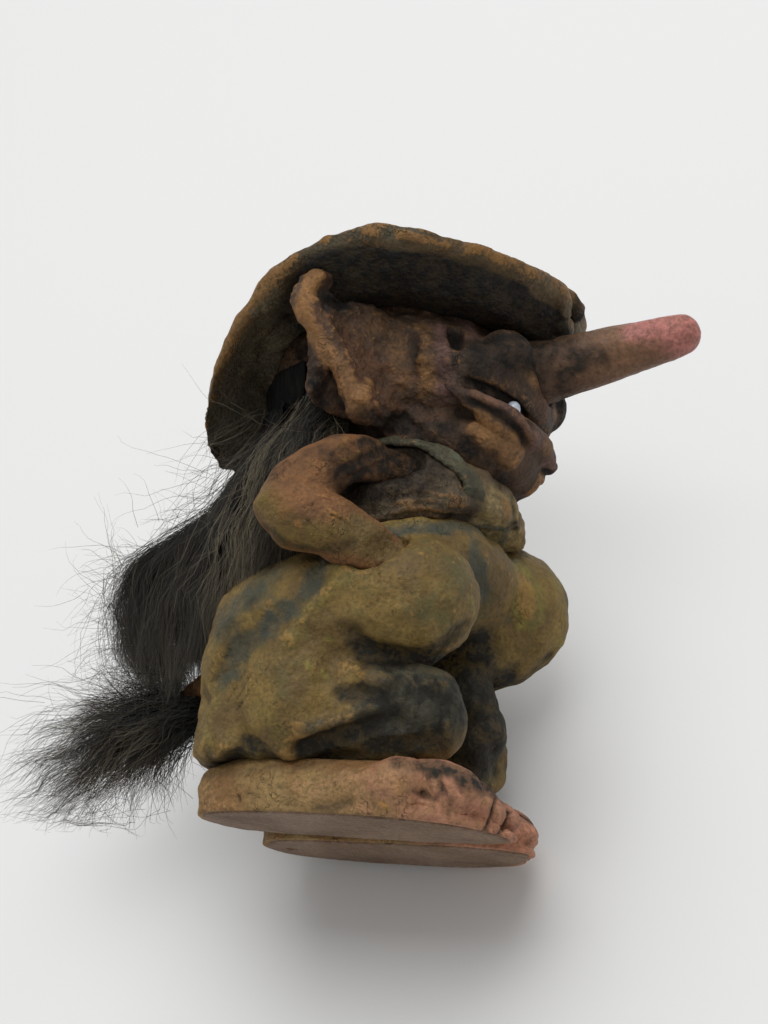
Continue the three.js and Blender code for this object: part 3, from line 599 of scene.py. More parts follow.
class Bench:
    """A node tree and the tools to fill it."""

    def __init__(self, tree: bpy.types.NodeTree) -> None:
        """Takes over a tree and empties it."""
        self.tree = tree
        self.tree.nodes.clear()

    @classmethod
    def of(cls, owner: Union[bpy.types.Material, bpy.types.World]) -> "Bench":
        """The bench of a material or of the surroundings."""
        owner.use_nodes = True
        return cls(owner.node_tree)

    def node(self, kind: str, settings: dict, sockets: dict, output: Union[str, int] = 0) -> Union[Tap, None]:
        """Adds a node.

        Args:
            kind: the node's type.
            settings: its own settings, set first.
            sockets: values or taps by input name, identifier or number.
            output: which output is handed back.

        Returns:
            That output, or none for a node that ends the tree.
        """
        made = self.tree.nodes.new(kind)
        for key, value in settings.items():
            setattr(made, key, value)
        for key, value in sockets.items():
            inlet = self._find(made.inputs, key)
            if isinstance(value, Tap):
                self.tree.links.new(value.socket, inlet)
            elif inlet.type == "RGBA" and len(value) == 3:
                inlet.default_value = (*value, 1.0)
            else:
                inlet.default_value = value
        return Tap(self, self._find(made.outputs, output)) if len(made.outputs) else None

    @staticmethod
    def _find(sockets: Sequence, key: Union[str, int]) -> bpy.types.NodeSocket:
        """A socket by number, identifier or name."""
        if isinstance(key, int):
            return sockets[key]
        return next(s for s in sockets if key in (s.identifier, s.name))

    def place(self) -> Tap:
        """Object coordinates."""
        return self.node("ShaderNodeTexCoord", {}, {}, "Object")

    def attribute(self, name: str) -> Tap:
        """A named attribute of the mesh."""
        return self.node("ShaderNodeAttribute", {"attribute_name": name}, {}, "Fac")

    def noise(self, place: Tap, scale: float, detail: float = 3.0, output: str = "Fac") -> Tap:
        """A noise pattern."""
        return self.node("ShaderNodeTexNoise", {}, {"Vector": place, "Scale": scale, "Detail": detail}, output)

    def mixed(self, share: Tap, first: Union[Tap, Shade], second: Shade) -> Tap:
        """One paint laid over another."""
        below = first if isinstance(first, Tap) else linear(first)
        values = {"Factor_Float": share, "A_Color": below, "B_Color": linear(second)}
        return self.node("ShaderNodeMix", {"data_type": "RGBA"}, values, "Result_Color")

    def vector(self, operation: str, first: Tap, second: Union[Tap, Place], output: str = "Vector") -> Tap:
        """Vector maths."""
        return self.node("ShaderNodeVectorMath", {"operation": operation}, {0: first, 1: second}, output)

    def ray(self, kind: str) -> Tap:
        """Whether a ray of light is of a kind."""
        return self.node("ShaderNodeLightPath", {}, {}, kind)

    def bump(self, height: Tap, strength: float, depth: float) -> Tap:
        """A bump from a height."""
        return self.node("ShaderNodeBump", {}, {"Height": height, "Strength": strength, "Distance": depth})

    def finish(self, sockets: dict) -> None:
        """Ends the tree in a principled shader with these values and taps."""
        shader = self.node("ShaderNodeBsdfPrincipled", {}, sockets)
        self.node("ShaderNodeOutputMaterial", {}, {"Surface": shader})


@dataclass(frozen=True)
class Paint:
    """Brushed latex paint: a ground that drifts in tone, a wash in hollows that also lays painted shade,
    dry-brushed light and two tints.
    """

    name: str
    ground: Shade
    drift: Shade
    wash: Shade = (33, 26, 19)
    light: Shade = (160, 116, 64)
    tint: Shade = (150, 98, 88)
    moss: Shade = (128, 116, 52)
    roughness: float = 0.6
    cracks: float = 0.7
    grain: float = 0.8
    dirt: float = 0.55
    third: Union[Shade, None] = None

    # Noise scales, from broad drifts of tone down to grain, in waves a metre.
    WIDE, SLOW, CRAZED, BENT, BLOTCH = 46.0, 75.0, 120.0, 160.0, 190.0
    MIDDLE, CELLS, FINE = 420.0, 460.0, 1150.0
    BUMP_DEPTH = 0.0014
    SHINE = 0.24

    def material(self) -> bpy.types.Material:
        """Builds the paint's node tree."""
        made = bpy.data.materials.new(self.name)
        bench = Bench.of(made)
        place = bench.place()
        slow = bench.noise(place, self.SLOW, 4.0)
        wide = bench.noise(place, self.WIDE, 3.0)
        blotch = bench.noise(place, self.BLOTCH, 6.0)
        middle = bench.noise(place, self.MIDDLE, 5.0)
        fine = bench.noise(place, self.FINE, 5.0)
        sway = bench.noise(place, self.BENT, 3.0, "Color")
        bent = bench.node("ShaderNodeMix", {"data_type": "VECTOR"},
                          {"Factor_Float": 0.012, "A_Vector": place, "B_Vector": sway}, "Result_Vector")
        cells = bench.node("ShaderNodeTexVoronoi", {"feature": "DISTANCE_TO_EDGE"},
                           {"Vector": bent, "Scale": self.CELLS}, "Distance")
        crazed = bench.noise(place, self.CRAZED, 3.0).eased(0.53, 0.66) * middle.eased(0.42, 0.6)
        lines = (1.0 - cells.eased(0.0, 0.045)) * crazed
        colour = bench.mixed(slow.eased(0.38, 0.62), self.ground, self.drift)
        other = (wide + (middle - 0.5) * 0.35).eased(0.5, 0.66)
        colour = bench.mixed(other * 0.8, colour, self.third or self.drift)
        worn = (middle * 0.6 + blotch * 0.4 + (fine - 0.5) * 0.5).eased(0.4, 0.6)
        moss = bench.attribute(MOSS.value).eased(0.0, 1.0) * (worn * 0.4 + 0.6)
        colour = bench.mixed(moss, colour, self.moss)
        tint = bench.attribute(TINT.value).eased(0.0, 1.0) * (worn * 0.3 + 0.7)
        colour = bench.mixed(tint, colour, self.tint)
        light = (bench.attribute(LIGHT.value) + (fine - 0.5) * 2.4 + (blotch - 0.5) * 1.2).eased(0.35, 0.85)
        colour = bench.mixed(light * (1.0 - tint * 0.7) * 0.75, colour, self.light)
        stain = (blotch - 0.52 + (fine - 0.5) * 0.8).eased(0.0, 0.2) * self.dirt
        # The wash layer holds the real wash and the painted shade laid with it; both take the wash colour.
        brushed = bench.attribute(WASH.value)
        wash = brushed.eased(0.0, 1.1) * (worn * 0.4 + 0.45) + brushed.eased(0.9, 1.8) * 0.22
        colour = bench.mixed(1.0 - (1.0 - stain * 0.7) * (1.0 - wash), colour, self.wash)
        colour = bench.mixed(lines * self.cracks, colour, self.wash)
        speck = (fine - 0.5) * 1.5 + (middle - 0.5) * 0.6 + 1.0
        level = bench.node("ShaderNodeCombineXYZ", {}, {0: speck, 1: speck, 2: speck})
        colour = bench.vector("MULTIPLY", colour, level)
        height = blotch * 0.5 + middle * 0.6 + fine * 0.5 - lines * 0.9
        bench.finish({
            "Base Color": colour,
            "Roughness": (middle - 0.5) * 0.35 + self.roughness + wash * 0.15,
            "Normal": bench.bump(height, self.grain, self.BUMP_DEPTH),
            "Specular IOR Level": self.SHINE,
        })
        return made


@dataclass(frozen=True)
class Pelt:
    """Fur: dark at the root, greyer towards the tip, each hair a little different."""

    name: str
    root: Shade = (17, 16, 14)
    tip: Shade = (126, 116, 96)
    roughness: float = 0.42

    def material(self) -> bpy.types.Material:
        """Builds the fur's node tree."""
        made = bpy.data.materials.new(self.name)
        bench = Bench.of(made)
        along = bench.attribute("along")
        shade = bench.attribute("shade")
        grey = (along * 0.45 + shade * 0.75 - 0.32).eased(0.0, 1.0)
        bench.finish({
            "Base Color": bench.mixed(grey, self.root, self.tip),
            "Roughness": shade * 0.15 + self.roughness,
            "Specular IOR Level": 0.3,
        })
        return made


@dataclass(frozen=True)
class Mat:
    """The dark woven backing and packed underfur below the long hair."""

    name: str
    deep: Shade = (8, 8, 8)
    worn: Shade = (25, 24, 21)

    def material(self) -> bpy.types.Material:
        """Builds the underfur's node tree, with streaks that run down."""
        made = bpy.data.materials.new(self.name)
        bench = Bench.of(made)
        drawn = bench.vector("MULTIPLY", bench.place(), (1.0, 1.0, 0.12))
        streak = bench.noise(drawn, 900.0, 4.0)
        bench.finish({
            "Base Color": bench.mixed(streak.eased(0.4, 0.75), self.deep, self.worn),
            "Roughness": streak * 0.2 + 0.6,
            "Specular IOR Level": 0.08,
            "Normal": bench.bump(streak, 0.9, 0.0012),
        })
        return made


@dataclass(frozen=True)
class Glaze:
    """A hard shiny bead: a tooth's enamel or a glass eye with a pupil in front."""

    name: str
    outer: Shade
    inner: Shade
    middle: Place = (0.0, 0.0, 0.0)
    pupil: float = 0.0
    roughness: float = 0.16

    def material(self) -> bpy.types.Material:
        """Builds the bead's node tree."""
        made = bpy.data.materials.new(self.name)
        bench = Bench.of(made)
        place = bench.place()
        from_middle = bench.vector("DISTANCE", place, self.middle, "Value")
        cloud = bench.noise(place, 700.0, 3.0)
        spread = self.pupil if self.pupil else 0.004
        share = (from_middle + (cloud - 0.5) * 0.0006).eased(spread * 0.75, spread * 1.1)
        bench.finish({
            "Base Color": bench.mixed(share, self.inner, self.outer),
            "Roughness": cloud * 0.15 + self.roughness,
            "Coat Weight": 0.6,
        })
        return made


SKIN = Paint("painted_skin", (134, 94, 58), (112, 80, 50), moss=(110, 92, 48),
             tint=(108, 90, 54), third=(122, 84, 52))
FACE = Paint("painted_face", (82, 61, 45), (64, 50, 39), light=(136, 98, 58),
             tint=(106, 79, 71), moss=(142, 104, 66), cracks=0.8, third=(92, 62, 42),
             wash=(23, 19, 15))
NOSE = Paint("painted_nose", (122, 90, 66), (108, 80, 58), tint=(180, 116, 107),
             light=(150, 108, 80), cracks=0.2, roughness=0.46, dirt=0.2, grain=0.5,
             third=(116, 84, 64))
# The hat's near-black tint is painted shade under the brim.
FELT = Paint("painted_hat", (88, 68, 42), (72, 58, 36), wash=(27, 23, 18),
             tint=(11, 11, 11), light=(136, 98, 52), moss=(128, 115, 90), cracks=0.4,
             third=(62, 58, 42))
CLOTH = Paint("painted_trousers", (130, 107, 58), (102, 82, 46), wash=(31, 28, 21),
              tint=(66, 70, 60), light=(150, 116, 64), moss=(126, 114, 56), cracks=0.5,
              third=(92, 87, 54), grain=0.6, dirt=0.4, roughness=0.52)
SHIRT = Paint("painted_shirt", (108, 92, 70), (86, 74, 58), light=(130, 96, 58),
              tint=(84, 84, 72), moss=(150, 131, 88), cracks=0.6, third=(88, 78, 62))
STRAP = Paint("painted_strap", (86, 82, 64), (72, 70, 54), tint=(88, 90, 74), cracks=0.3)
FOOT = Paint("painted_foot", (152, 125, 81), (132, 98, 60), tint=(188, 131, 107),
             moss=(184, 142, 62), light=(172, 134, 94), wash=(40, 38, 32),
             cracks=0.3, dirt=0.4, third=(142, 108, 68))
LATEX = Paint("bare_latex", (136, 112, 92), (118, 93, 72), wash=(66, 48, 36),
              light=(150, 126, 104), moss=(128, 98, 68), tint=(128, 88, 70),
              cracks=0.1, roughness=0.5, dirt=0.3)


def dress(clay: Clay, finish: bpy.types.Material) -> None:
    """Makes a shaped surface a piece of the figure in its solid's place.

    Args:
        clay: the surface, named for its solid.
        finish: its material.
    """
    mesh = clay.mesh()
    mesh.materials.append(finish)
    piece = bpy.data.objects.new(f"{clay.name}_piece", mesh)
    bpy.context.scene.collection.objects.link(piece)
    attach(piece, BODY)
    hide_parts(*clay.nodes)
    log.info("piece %s: %d faces", piece.name, len(mesh.polygons))


class Modeller:
    """Works marks read in the picture into a group of surfaces, and their mirror lines into the far side."""

    # A stroke that raises the surface this far makes the later ones look for it anew.
    RAISED = 1.5
    MIRROR = np.array((-1.0, 1.0, 1.0))

    def __init__(self, sight: Sight) -> None:
        """Takes the view in which the marks were read."""
        self.sight = sight
        self.eye = sight.eye()

    def line(self, trees: Sequence[BVHTree], path: tuple[Pixel, ...], spacing: float = 5.0) -> Grid:
        """Lays a line of the picture on the nearest surface behind it.

        Args:
            trees: the surfaces' search trees.
            path: the line's corners in the picture.
            spacing: picture distance between the tried spots.

        Returns:
            The line's points in the figure; none where it misses.
        """
        spots = [path[0]]
        for start, stop in zip(path[:-1], path[1:]):
            count = max(1, round(math.dist(start, stop) / spacing))
            spots += [(start[0] + (stop[0] - start[0]) * i / count, start[1] + (stop[1] - start[1]) * i / count)
                      for i in range(1, count + 1)]
        places = []
        for spot in spots:
            hits = [tree.ray_cast(self.eye, self.sight.ray(spot)) for tree in trees]
            hits = [hit for hit in hits if hit[0] is not None]
            if hits:
                places.append(tuple(min(hits, key=lambda hit: hit[3])[0]))
        return np.array(places)

    def work(self, clays: Sequence[Clay], marks: Sequence[Mark],
             step: Union[Place, None] = (0.0, 0.0, 0.0)) -> None:
        """Works marks into surfaces that lie together.

        Args:
            clays: the surfaces.
            marks: the strokes.
            step: how far the far side's strokes are offset; none leaves the far side alone.
        """
        trees = [clay.tree() for clay in clays]
        for mark in marks:
            path = self.line(trees, mark.path)
            if not len(path):
                log.warning("the mark at %s misses", mark.path[0])
                continue
            lines = [path] if step is None else [path, path * self.MIRROR + np.array(step)]
            for clay, line in itertools.product(clays, lines):
                clay.stroke(line, mark)
            if mark.lift >= self.RAISED:
                trees = [clay.tree() for clay in clays]


# Depth in hollows and height on ridges, in millimetres, and closeness, over which wash and light set in;
# closeness also adds painted shade.
FINE_HOLLOW, WIDE_HOLLOW, CLOSED_IN = (0.03, 0.16), (0.12, 0.75), (0.42, 0.85)
FINE_RIDGE, WIDE_RIDGE = (0.02, 0.12), (0.1, 0.8)
PATCH_SIZE = 7.0


def age(clay: Clay, closed: Grid, wash: Union[Grid, float] = 1.0, light: float = 1.0) -> None:
    """Lets the dark wash settle in hollows and folds, paints shade into closed-in places, and dry-brushes the
    high places.

    Args:
        clay: the surface.
        closed: how closed in each point is, which sets the painted shade there.
        wash: strength of the wash and of its painted shade, as one number or one for each point.
        light: strength of the dry brush.
    """
    small = clay.relief(4)
    broad = clay.relief(40)
    hollow_and_shade = ease(-small, *FINE_HOLLOW) * 0.5 + ease(-broad, *WIDE_HOLLOW) * 0.6
    # Closeness to the surrounding solids adds painted shade to the wash, where shade falls between parts.
    hollow_and_shade = hollow_and_shade + ease(closed, *CLOSED_IN) * 0.95
    proud = ease(small, *FINE_RIDGE) * 0.55 + ease(broad, *WIDE_RIDGE) * 0.5
    patch = rough(clay.points, PATCH_SIZE, SEED + 3)
    clay.layers[WASH] += wash * np.clip(hollow_and_shade + patch * 0.12, 0.0, 1.0)
    clay.layers[LIGHT] += light * np.clip(proud * (1.0 - 1.2 * closed) + patch * 0.1, 0.0, 1.0)


@dataclass
class Hat:
    """The floppy hat: a low crown and a wide drooping brim with a thick rolled edge."""

    voxel: float = 0.6
    head_middle: Place = (0.0, 2.0, 92.0)
    half_width: float = 41.5
    half_length: float = 39.0
    brim_middle: float = 1.0
    rim_from: float = 0.93
    rim_width: float = 0.06
    rear_width: float = 0.2
    inward_zone: Span = (0.0, 0.35)
    under_zone: Span = (0.15, 0.5)
    front_sink: float = 0.5
    sink_zone: Span = (14.0, 32.0)
    front_draw: float = 0.6
    draw_zone: Span = (20.0, 38.0)
    rear_push: float = 0.8
    push_zone: Span = (14.0, 40.0)
    rear_rim: Span = (2.0, 22.0)
    rear_paint: Span = (8.0, 26.0)
    clay: Clay = field(init=False)

    FELT_GRAIN = ((15.0, 1.3, 1), (5.0, 0.4, 3), (2.4, 0.22, 2))
    HAT_MARKS = (
        Mark(((572, 309), (578, 310), (584, 311)), 2.2, 0.9, WASH, 1.0),
        Mark(((560, 326), (572, 327), (580, 326)), 2.4, 0.8, MOSS, 1.0),
        Mark(((560, 318), (574, 318)), 1.2, -0.9, WASH, 1.0),
        Mark(((506, 262), (540, 282), (562, 300)), 3.6, 0.4, TINT, -0.9, 0.5),
        Mark(((392, 296), (420, 293), (446, 298)), 4.0, 0.0, TINT, -0.35, 0.4),
        Mark(((300, 245), (312, 240), (325, 237)), 2.2, 0.5, LIGHT, 0.9, 0.5),
        Mark(((400, 236), (425, 240), (445, 245)), 1.8, 0.3, LIGHT, 0.8, 0.5),
        Mark(((290, 262), (262, 290), (240, 322)), 3.0, 0.4, LIGHT, 1.0, 0.6),
        Mark(((236, 332), (222, 366), (214, 402)), 3.0, 0.2, LIGHT, 1.1, 0.6),
        Mark(((208, 425), (210, 445), (214, 458)), 2.0, 0.4, LIGHT, 0.8, 0.6),
        Mark(((470, 250), (500, 262), (530, 275)), 2.4, 0.3, LIGHT, 0.3, 0.6),
    )

    def shape(self, modeller: Modeller) -> None:
        """Casts the hat and gives it the uneven look of pressed felt."""
        clay = Clay.cast("hat", self.voxel, swell=0.0)
        clay.points[:, 2] -= self.front_sink * ease(-clay.points[:, 1], *self.sink_zone)
        clay.points[:, 1] += self.front_draw * ease(-clay.points[:, 1], *self.draw_zone)
        clay.points[:, 1] += self.rear_push * ease(clay.points[:, 1], *self.push_zone)
        modeller.work([clay], self.HAT_MARKS)
        clay.roughen(self.FELT_GRAIN)
        self.clay = clay

    def dress(self, shelter: Shelter) -> None:
        """Paints the rim ochre and the underside nearly black as painted shade under the brim, leaving the rear
        inside olive.
        """
        clay = self.clay
        age(clay, shelter.measure(clay), wash=0.6, light=0.9)
        points, normals = clay.points, clay.blurred(clay.normals(), 4)
        inward = np.array(self.head_middle) - points
        inward /= np.linalg.norm(inward, axis=1, keepdims=True)
        facing = ease(np.einsum("ij,ij->i", normals, inward), *self.inward_zone)
        facing = np.maximum(facing, ease(-normals[:, 2], *self.under_zone))
        span = np.hypot(points[:, 0] / self.half_width, (points[:, 1] - self.brim_middle) / self.half_length)
        rear = ease(points[:, 1], *self.rear_rim)
        edge = self.rim_from - rear * self.rear_width
        wide = self.rim_width + rear * self.rear_width
        rim = ease((span + rough(points, 8.0, 34) * 0.035 - edge) / wide, 0.0, 1.0)
        behind = facing * ease(points[:, 1], *self.rear_paint)
        brim_shade = (facing - behind) * (1.0 - rim)
        # Painted shade: the underside, apart from the rear and the rim, is tinted nearly black.
        clay.layers[TINT] += brim_shade * 1.7 + brim_shade * rough(points, 9.0, 31) * 0.15
        clay.layers[WASH] *= 1.0 - 0.95 * behind
        clay.layers[MOSS] += ease(rough(points, 11.0, 33), 0.0, 0.6) * 0.35 + behind * 1.8
        # The dry-brushed light is kept off the shaded underside, less so at the rear.
        clay.layers[LIGHT] *= 1.0 - (0.9 * facing - 0.4 * behind) * (1.0 - 0.4 * rim)
        blots = ease(rough(points, 5.0, 35), 0.1, 0.8) * (1.0 - brim_shade) * (1.0 - 0.7 * behind)
        # The blots are uneven wash; the band along the inner rim is painted shade.
        clay.layers[WASH] += blots * 0.6 + 0.25 * facing * rim
        dress(clay, FELT.material())


@dataclass
class Head:
    """The head with its big cupped ears, long nose, wide grin, glass eyes and one tooth."""

    voxel: float = 0.45
    bead_voxel: float = 0.25
    pink: Span = (50.0, 61.0)
    pupil: float = 0.0017
    lip_width: float = 4.5
    coarse_zone: Span = (-22.0, -12.0)
    clays: dict[str, Clay] = field(init=False, default_factory=dict)

    CASTINGS = (("head", 36), ("right_ear", 14), ("left_ear", 14))
    LIP_END = ((440, 374), (447, 380), (455, 388))
    SKIN_GRAIN = ((6.0, 0.3, 4),)
    WRINKLES = ((3.0, 0.7, 6), (1.5, 0.6, 8))
    PORES = ((1.3, 0.08, 7),)
    NOSE_WASHES = (((-42.0, -33.0), 0.6), ((-52.0, -42.0), 0.45))
    FACE_MARKS = (
        Mark(((426, 320), (425, 350), (429, 374), (431, 402)), 3.2, 0.6, MOSS, 0.6, 0.8, 0.2),
        Mark(((414, 325), (412, 355), (418, 385)), 2.0, -0.5, WASH, 0.4, 0.6, 0.2),
        Mark(((440, 320), (443, 350), (446, 378), (443, 408)), 3.2, 0.3, TINT, 1.0, 0.4, 0.1),
        Mark(((437, 350), (439, 372), (441, 400)), 0.7, -0.35, WASH, 0.6, 0.3, 0.2),
        Mark(((447, 352), (449, 374), (448, 398)), 0.7, -0.25, WASH, 0.6, 0.3, 0.2),
        Mark(((446, 314), (458, 313), (467, 322), (473, 342)), 3.4, 0.8, TINT, 0.9, 0.3, 0.1),
        Mark(((455, 332), (457, 344)), 2.2, -2.6, WASH, 1.5),
        Mark(((453, 350), (455, 376)), 1.3, -0.8, WASH, 0.9, 0.3, 0.3),
        # Painted shade under the brim: over the eye bag, which hides the eye, and across the brow.
        Mark(((498, 337), (512, 341), (526, 341)), 5.5, 0.5, WASH, 0.6, 0.3),
        Mark(((480, 316), (515, 320), (555, 325)), 6.5, -0.4, WASH, 1.3),
        Mark(((478, 344), (503, 340), (530, 337), (556, 338)), 2.2, -1.0, WASH, 1.0, 0.2, 0.1),
        Mark(((462, 361), (500, 358), (530, 357), (556, 362)), 6.5, 1.2, WASH, 2.0, 0.2, 0.1),
        Mark(((466, 374), (499, 383), (521, 395), (537, 414)), 2.2, 0.5, LIGHT, 0.25, 0.4, 0.2),
        Mark(((456, 378), (476, 384), (493, 391), (513, 403), (530, 424), (535, 438)),
             1.5, -1.3, WASH, 1.1, 0.1, 0.15),
        Mark(((438, 376), (446, 382), (454, 388)), 4.2, -1.9),
        Mark(((454, 384), (460, 392), (466, 399)), 2.6, -0.5, WASH, 0.8, 0.3),
        Mark(((462, 388), (480, 396), (500, 404), (516, 414), (532, 432), (540, 450)),
             2.2, 0.6, TINT, 1.2, 0.15, 0.15),
        Mark(((462, 401), (480, 406), (499, 416), (518, 432), (529, 456)), 1.8, -1.4, WASH, 1.2, 0.2, 0.2),
        Mark(((470, 421), (492, 435), (508, 450), (519, 466)), 5.2, 1.0, MOSS, 2.0, 0.3, 0.1),
        Mark(((470, 446), (484, 452)), 3.0, -0.3, WASH, 1.0, 0.8),
        Mark(((492, 458), (500, 470), (507, 487)), 3.0, -0.3, WASH, 1.0, 0.8),
        Mark(((446, 428), (460, 438), (470, 452)), 3.6, -0.4, WASH, 0.9, 0.6),
        Mark(((404, 426), (420, 436), (438, 449)), 3.6, -0.5, WASH, 0.9, 0.5),
        Mark(((380, 424), (410, 428), (440, 424), (462, 414)), 2.6, -0.5, WASH, 0.8, 0.6),
        Mark(((553, 412), (557, 430), (550, 452)), 3.0, 0.3, MOSS, 0.7, 0.3),
        Mark(((556, 440), (552, 455), (545, 465)), 2.4, 0.0, TINT, 0.9, 0.3),
        Mark(((568, 372), (582, 360), (592, 356), (600, 358)), 3.4, -0.2, WASH, 0.7, 0.7),
        Mark(((634, 330), (660, 320), (690, 320)), 5.0, 0.2, TINT, 1.1, 0.2),
        Mark(((648, 376), (664, 370), (682, 360)), 6.0, 1.5),
        Mark(((566, 386), (570, 366), (566, 345)), 3.5, 0.0, WASH, 0.6, 0.6),
    )
    EAR_MARKS = (
        Mark(((315, 272), (304, 300), (303, 318), (314, 336), (330, 356), (344, 381), (361, 410)),
             3.2, 0.2, MOSS, 1.4, 0.15),
        Mark(((358, 404), (366, 390), (371, 380)), 2.0, 1.0, MOSS, 1.1, 0.2, 0.1),
        # The ear's cup under the brim is pressed in and darkened with painted shade.
        Mark(((329, 300), (350, 296), (370, 302)), 4.8, -1.6, WASH, 1.4, 0.2),
        Mark(((332, 314), (352, 311), (378, 316)), 1.7, 0.6, WASH, 0.3),
        Mark(((380, 326), (395, 345), (402, 375)), 7.0, 0.0, MOSS, 0.4, 0.9),
        # Painted shadow of the hair and hat on the back of the ear, dark enough to read as black.
        Mark(((304, 346), (309, 372), (322, 402)), 4.0, -1.2, WASH, 2.0, 0.1),
        Mark(((316, 276), (304, 300), (302, 316), (312, 332)), 3.0, 0.1, LIGHT, 1.6, 0.5),
        Mark(((338, 366), (350, 390), (362, 412)), 3.4, 0.0, WASH, 0.45, 0.6),
        Mark(((318, 372), (330, 390), (344, 408)), 1.8, -0.5, WASH, 1.2, 0.3),
        Mark(((296, 336), (306, 356), (322, 380)), 1.2, -0.5, WASH, 0.8, 0.4),
        Mark(((288, 330), (296, 350), (310, 376)), 1.2, -0.5, WASH, 0.7, 0.4),
        Mark(((366, 416), (385, 421), (405, 418)), 3.0, -0.5, WASH, 0.9, 0.5),
    )

    def shape(self, modeller: Modeller) -> None:
        """Casts the head's pieces and models the face and the ears."""
        castings = [Clay.cast(name, self.voxel, swell=0.35, blur=blur) for name, blur in self.CASTINGS]
        head = Clay.fused("head", castings, self.voxel, reach=6.0)
        nose = Clay.cast("nose", self.voxel, swell=0.25)
        fill_seams((head, nose), reach=5.0)
        modeller.work((head, nose), self.FACE_MARKS + self.EAR_MARKS)
        lip_end = modeller.line([head.tree()], self.LIP_END)
        for line in (lip_end, lip_end * modeller.MIRROR):
            head.soften(line, self.lip_width, times=24)
        for clay in (head, nose):
            coarse = ease(clay.points[:, 1], *self.coarse_zone) * (1.0 - np.clip(clay.layers[MOSS], 0.0, 0.9))
            clay.roughen(self.SKIN_GRAIN)
            clay.roughen(self.WRINKLES, coarse)
            clay.roughen(self.PORES)
            self.clays[clay.name] = clay

    def dress(self, shelter: Shelter) -> None:
        """Paints the skin, the pink nose tip, and sets eyes and tooth."""
        clay = self.clays["head"]
        bare = 1.0 - 0.8 * np.clip(clay.layers[MOSS], 0.0, 1.0)
        age(clay, shelter.measure(clay), wash=0.9 * bare, light=0.9)
        dress(clay, FACE.material())
        nose = self.clays["nose"]
        age(nose, shelter.measure(nose), wash=0.9, light=0.6)
        drawn = -nose.points[:, 1] + rough(nose.points, 6.0, 14) * 2.0 + nose.normals()[:, 2] * 5.0
        nose.layers[TINT] += ease(drawn, *self.pink)
        nose.layers[WASH] += sum(ease(nose.points[:, 1], *zone) * amount for zone, amount in self.NOSE_WASHES)
        dress(nose, NOSE.material())
        tooth = Clay.cast("tooth", self.bead_voxel, swell=0.1, blur=8)
        enamel = Glaze("tooth_enamel", (186, 194, 208), (168, 178, 192))
        dress(tooth, enamel.material())
        for side in SIDES:
            eye = Clay.cast(f"{side}_eye", self.bead_voxel, swell=0.05, blur=10)
            front = eye.points[np.argmin(eye.points[:, 1])]
            glass = Glaze(f"{side}_eye_glass", (122, 78, 30), (6, 5, 4),
                          tuple(to_frame(front[None])[0]), self.pupil, 0.05)
            dress(eye, glass.material())


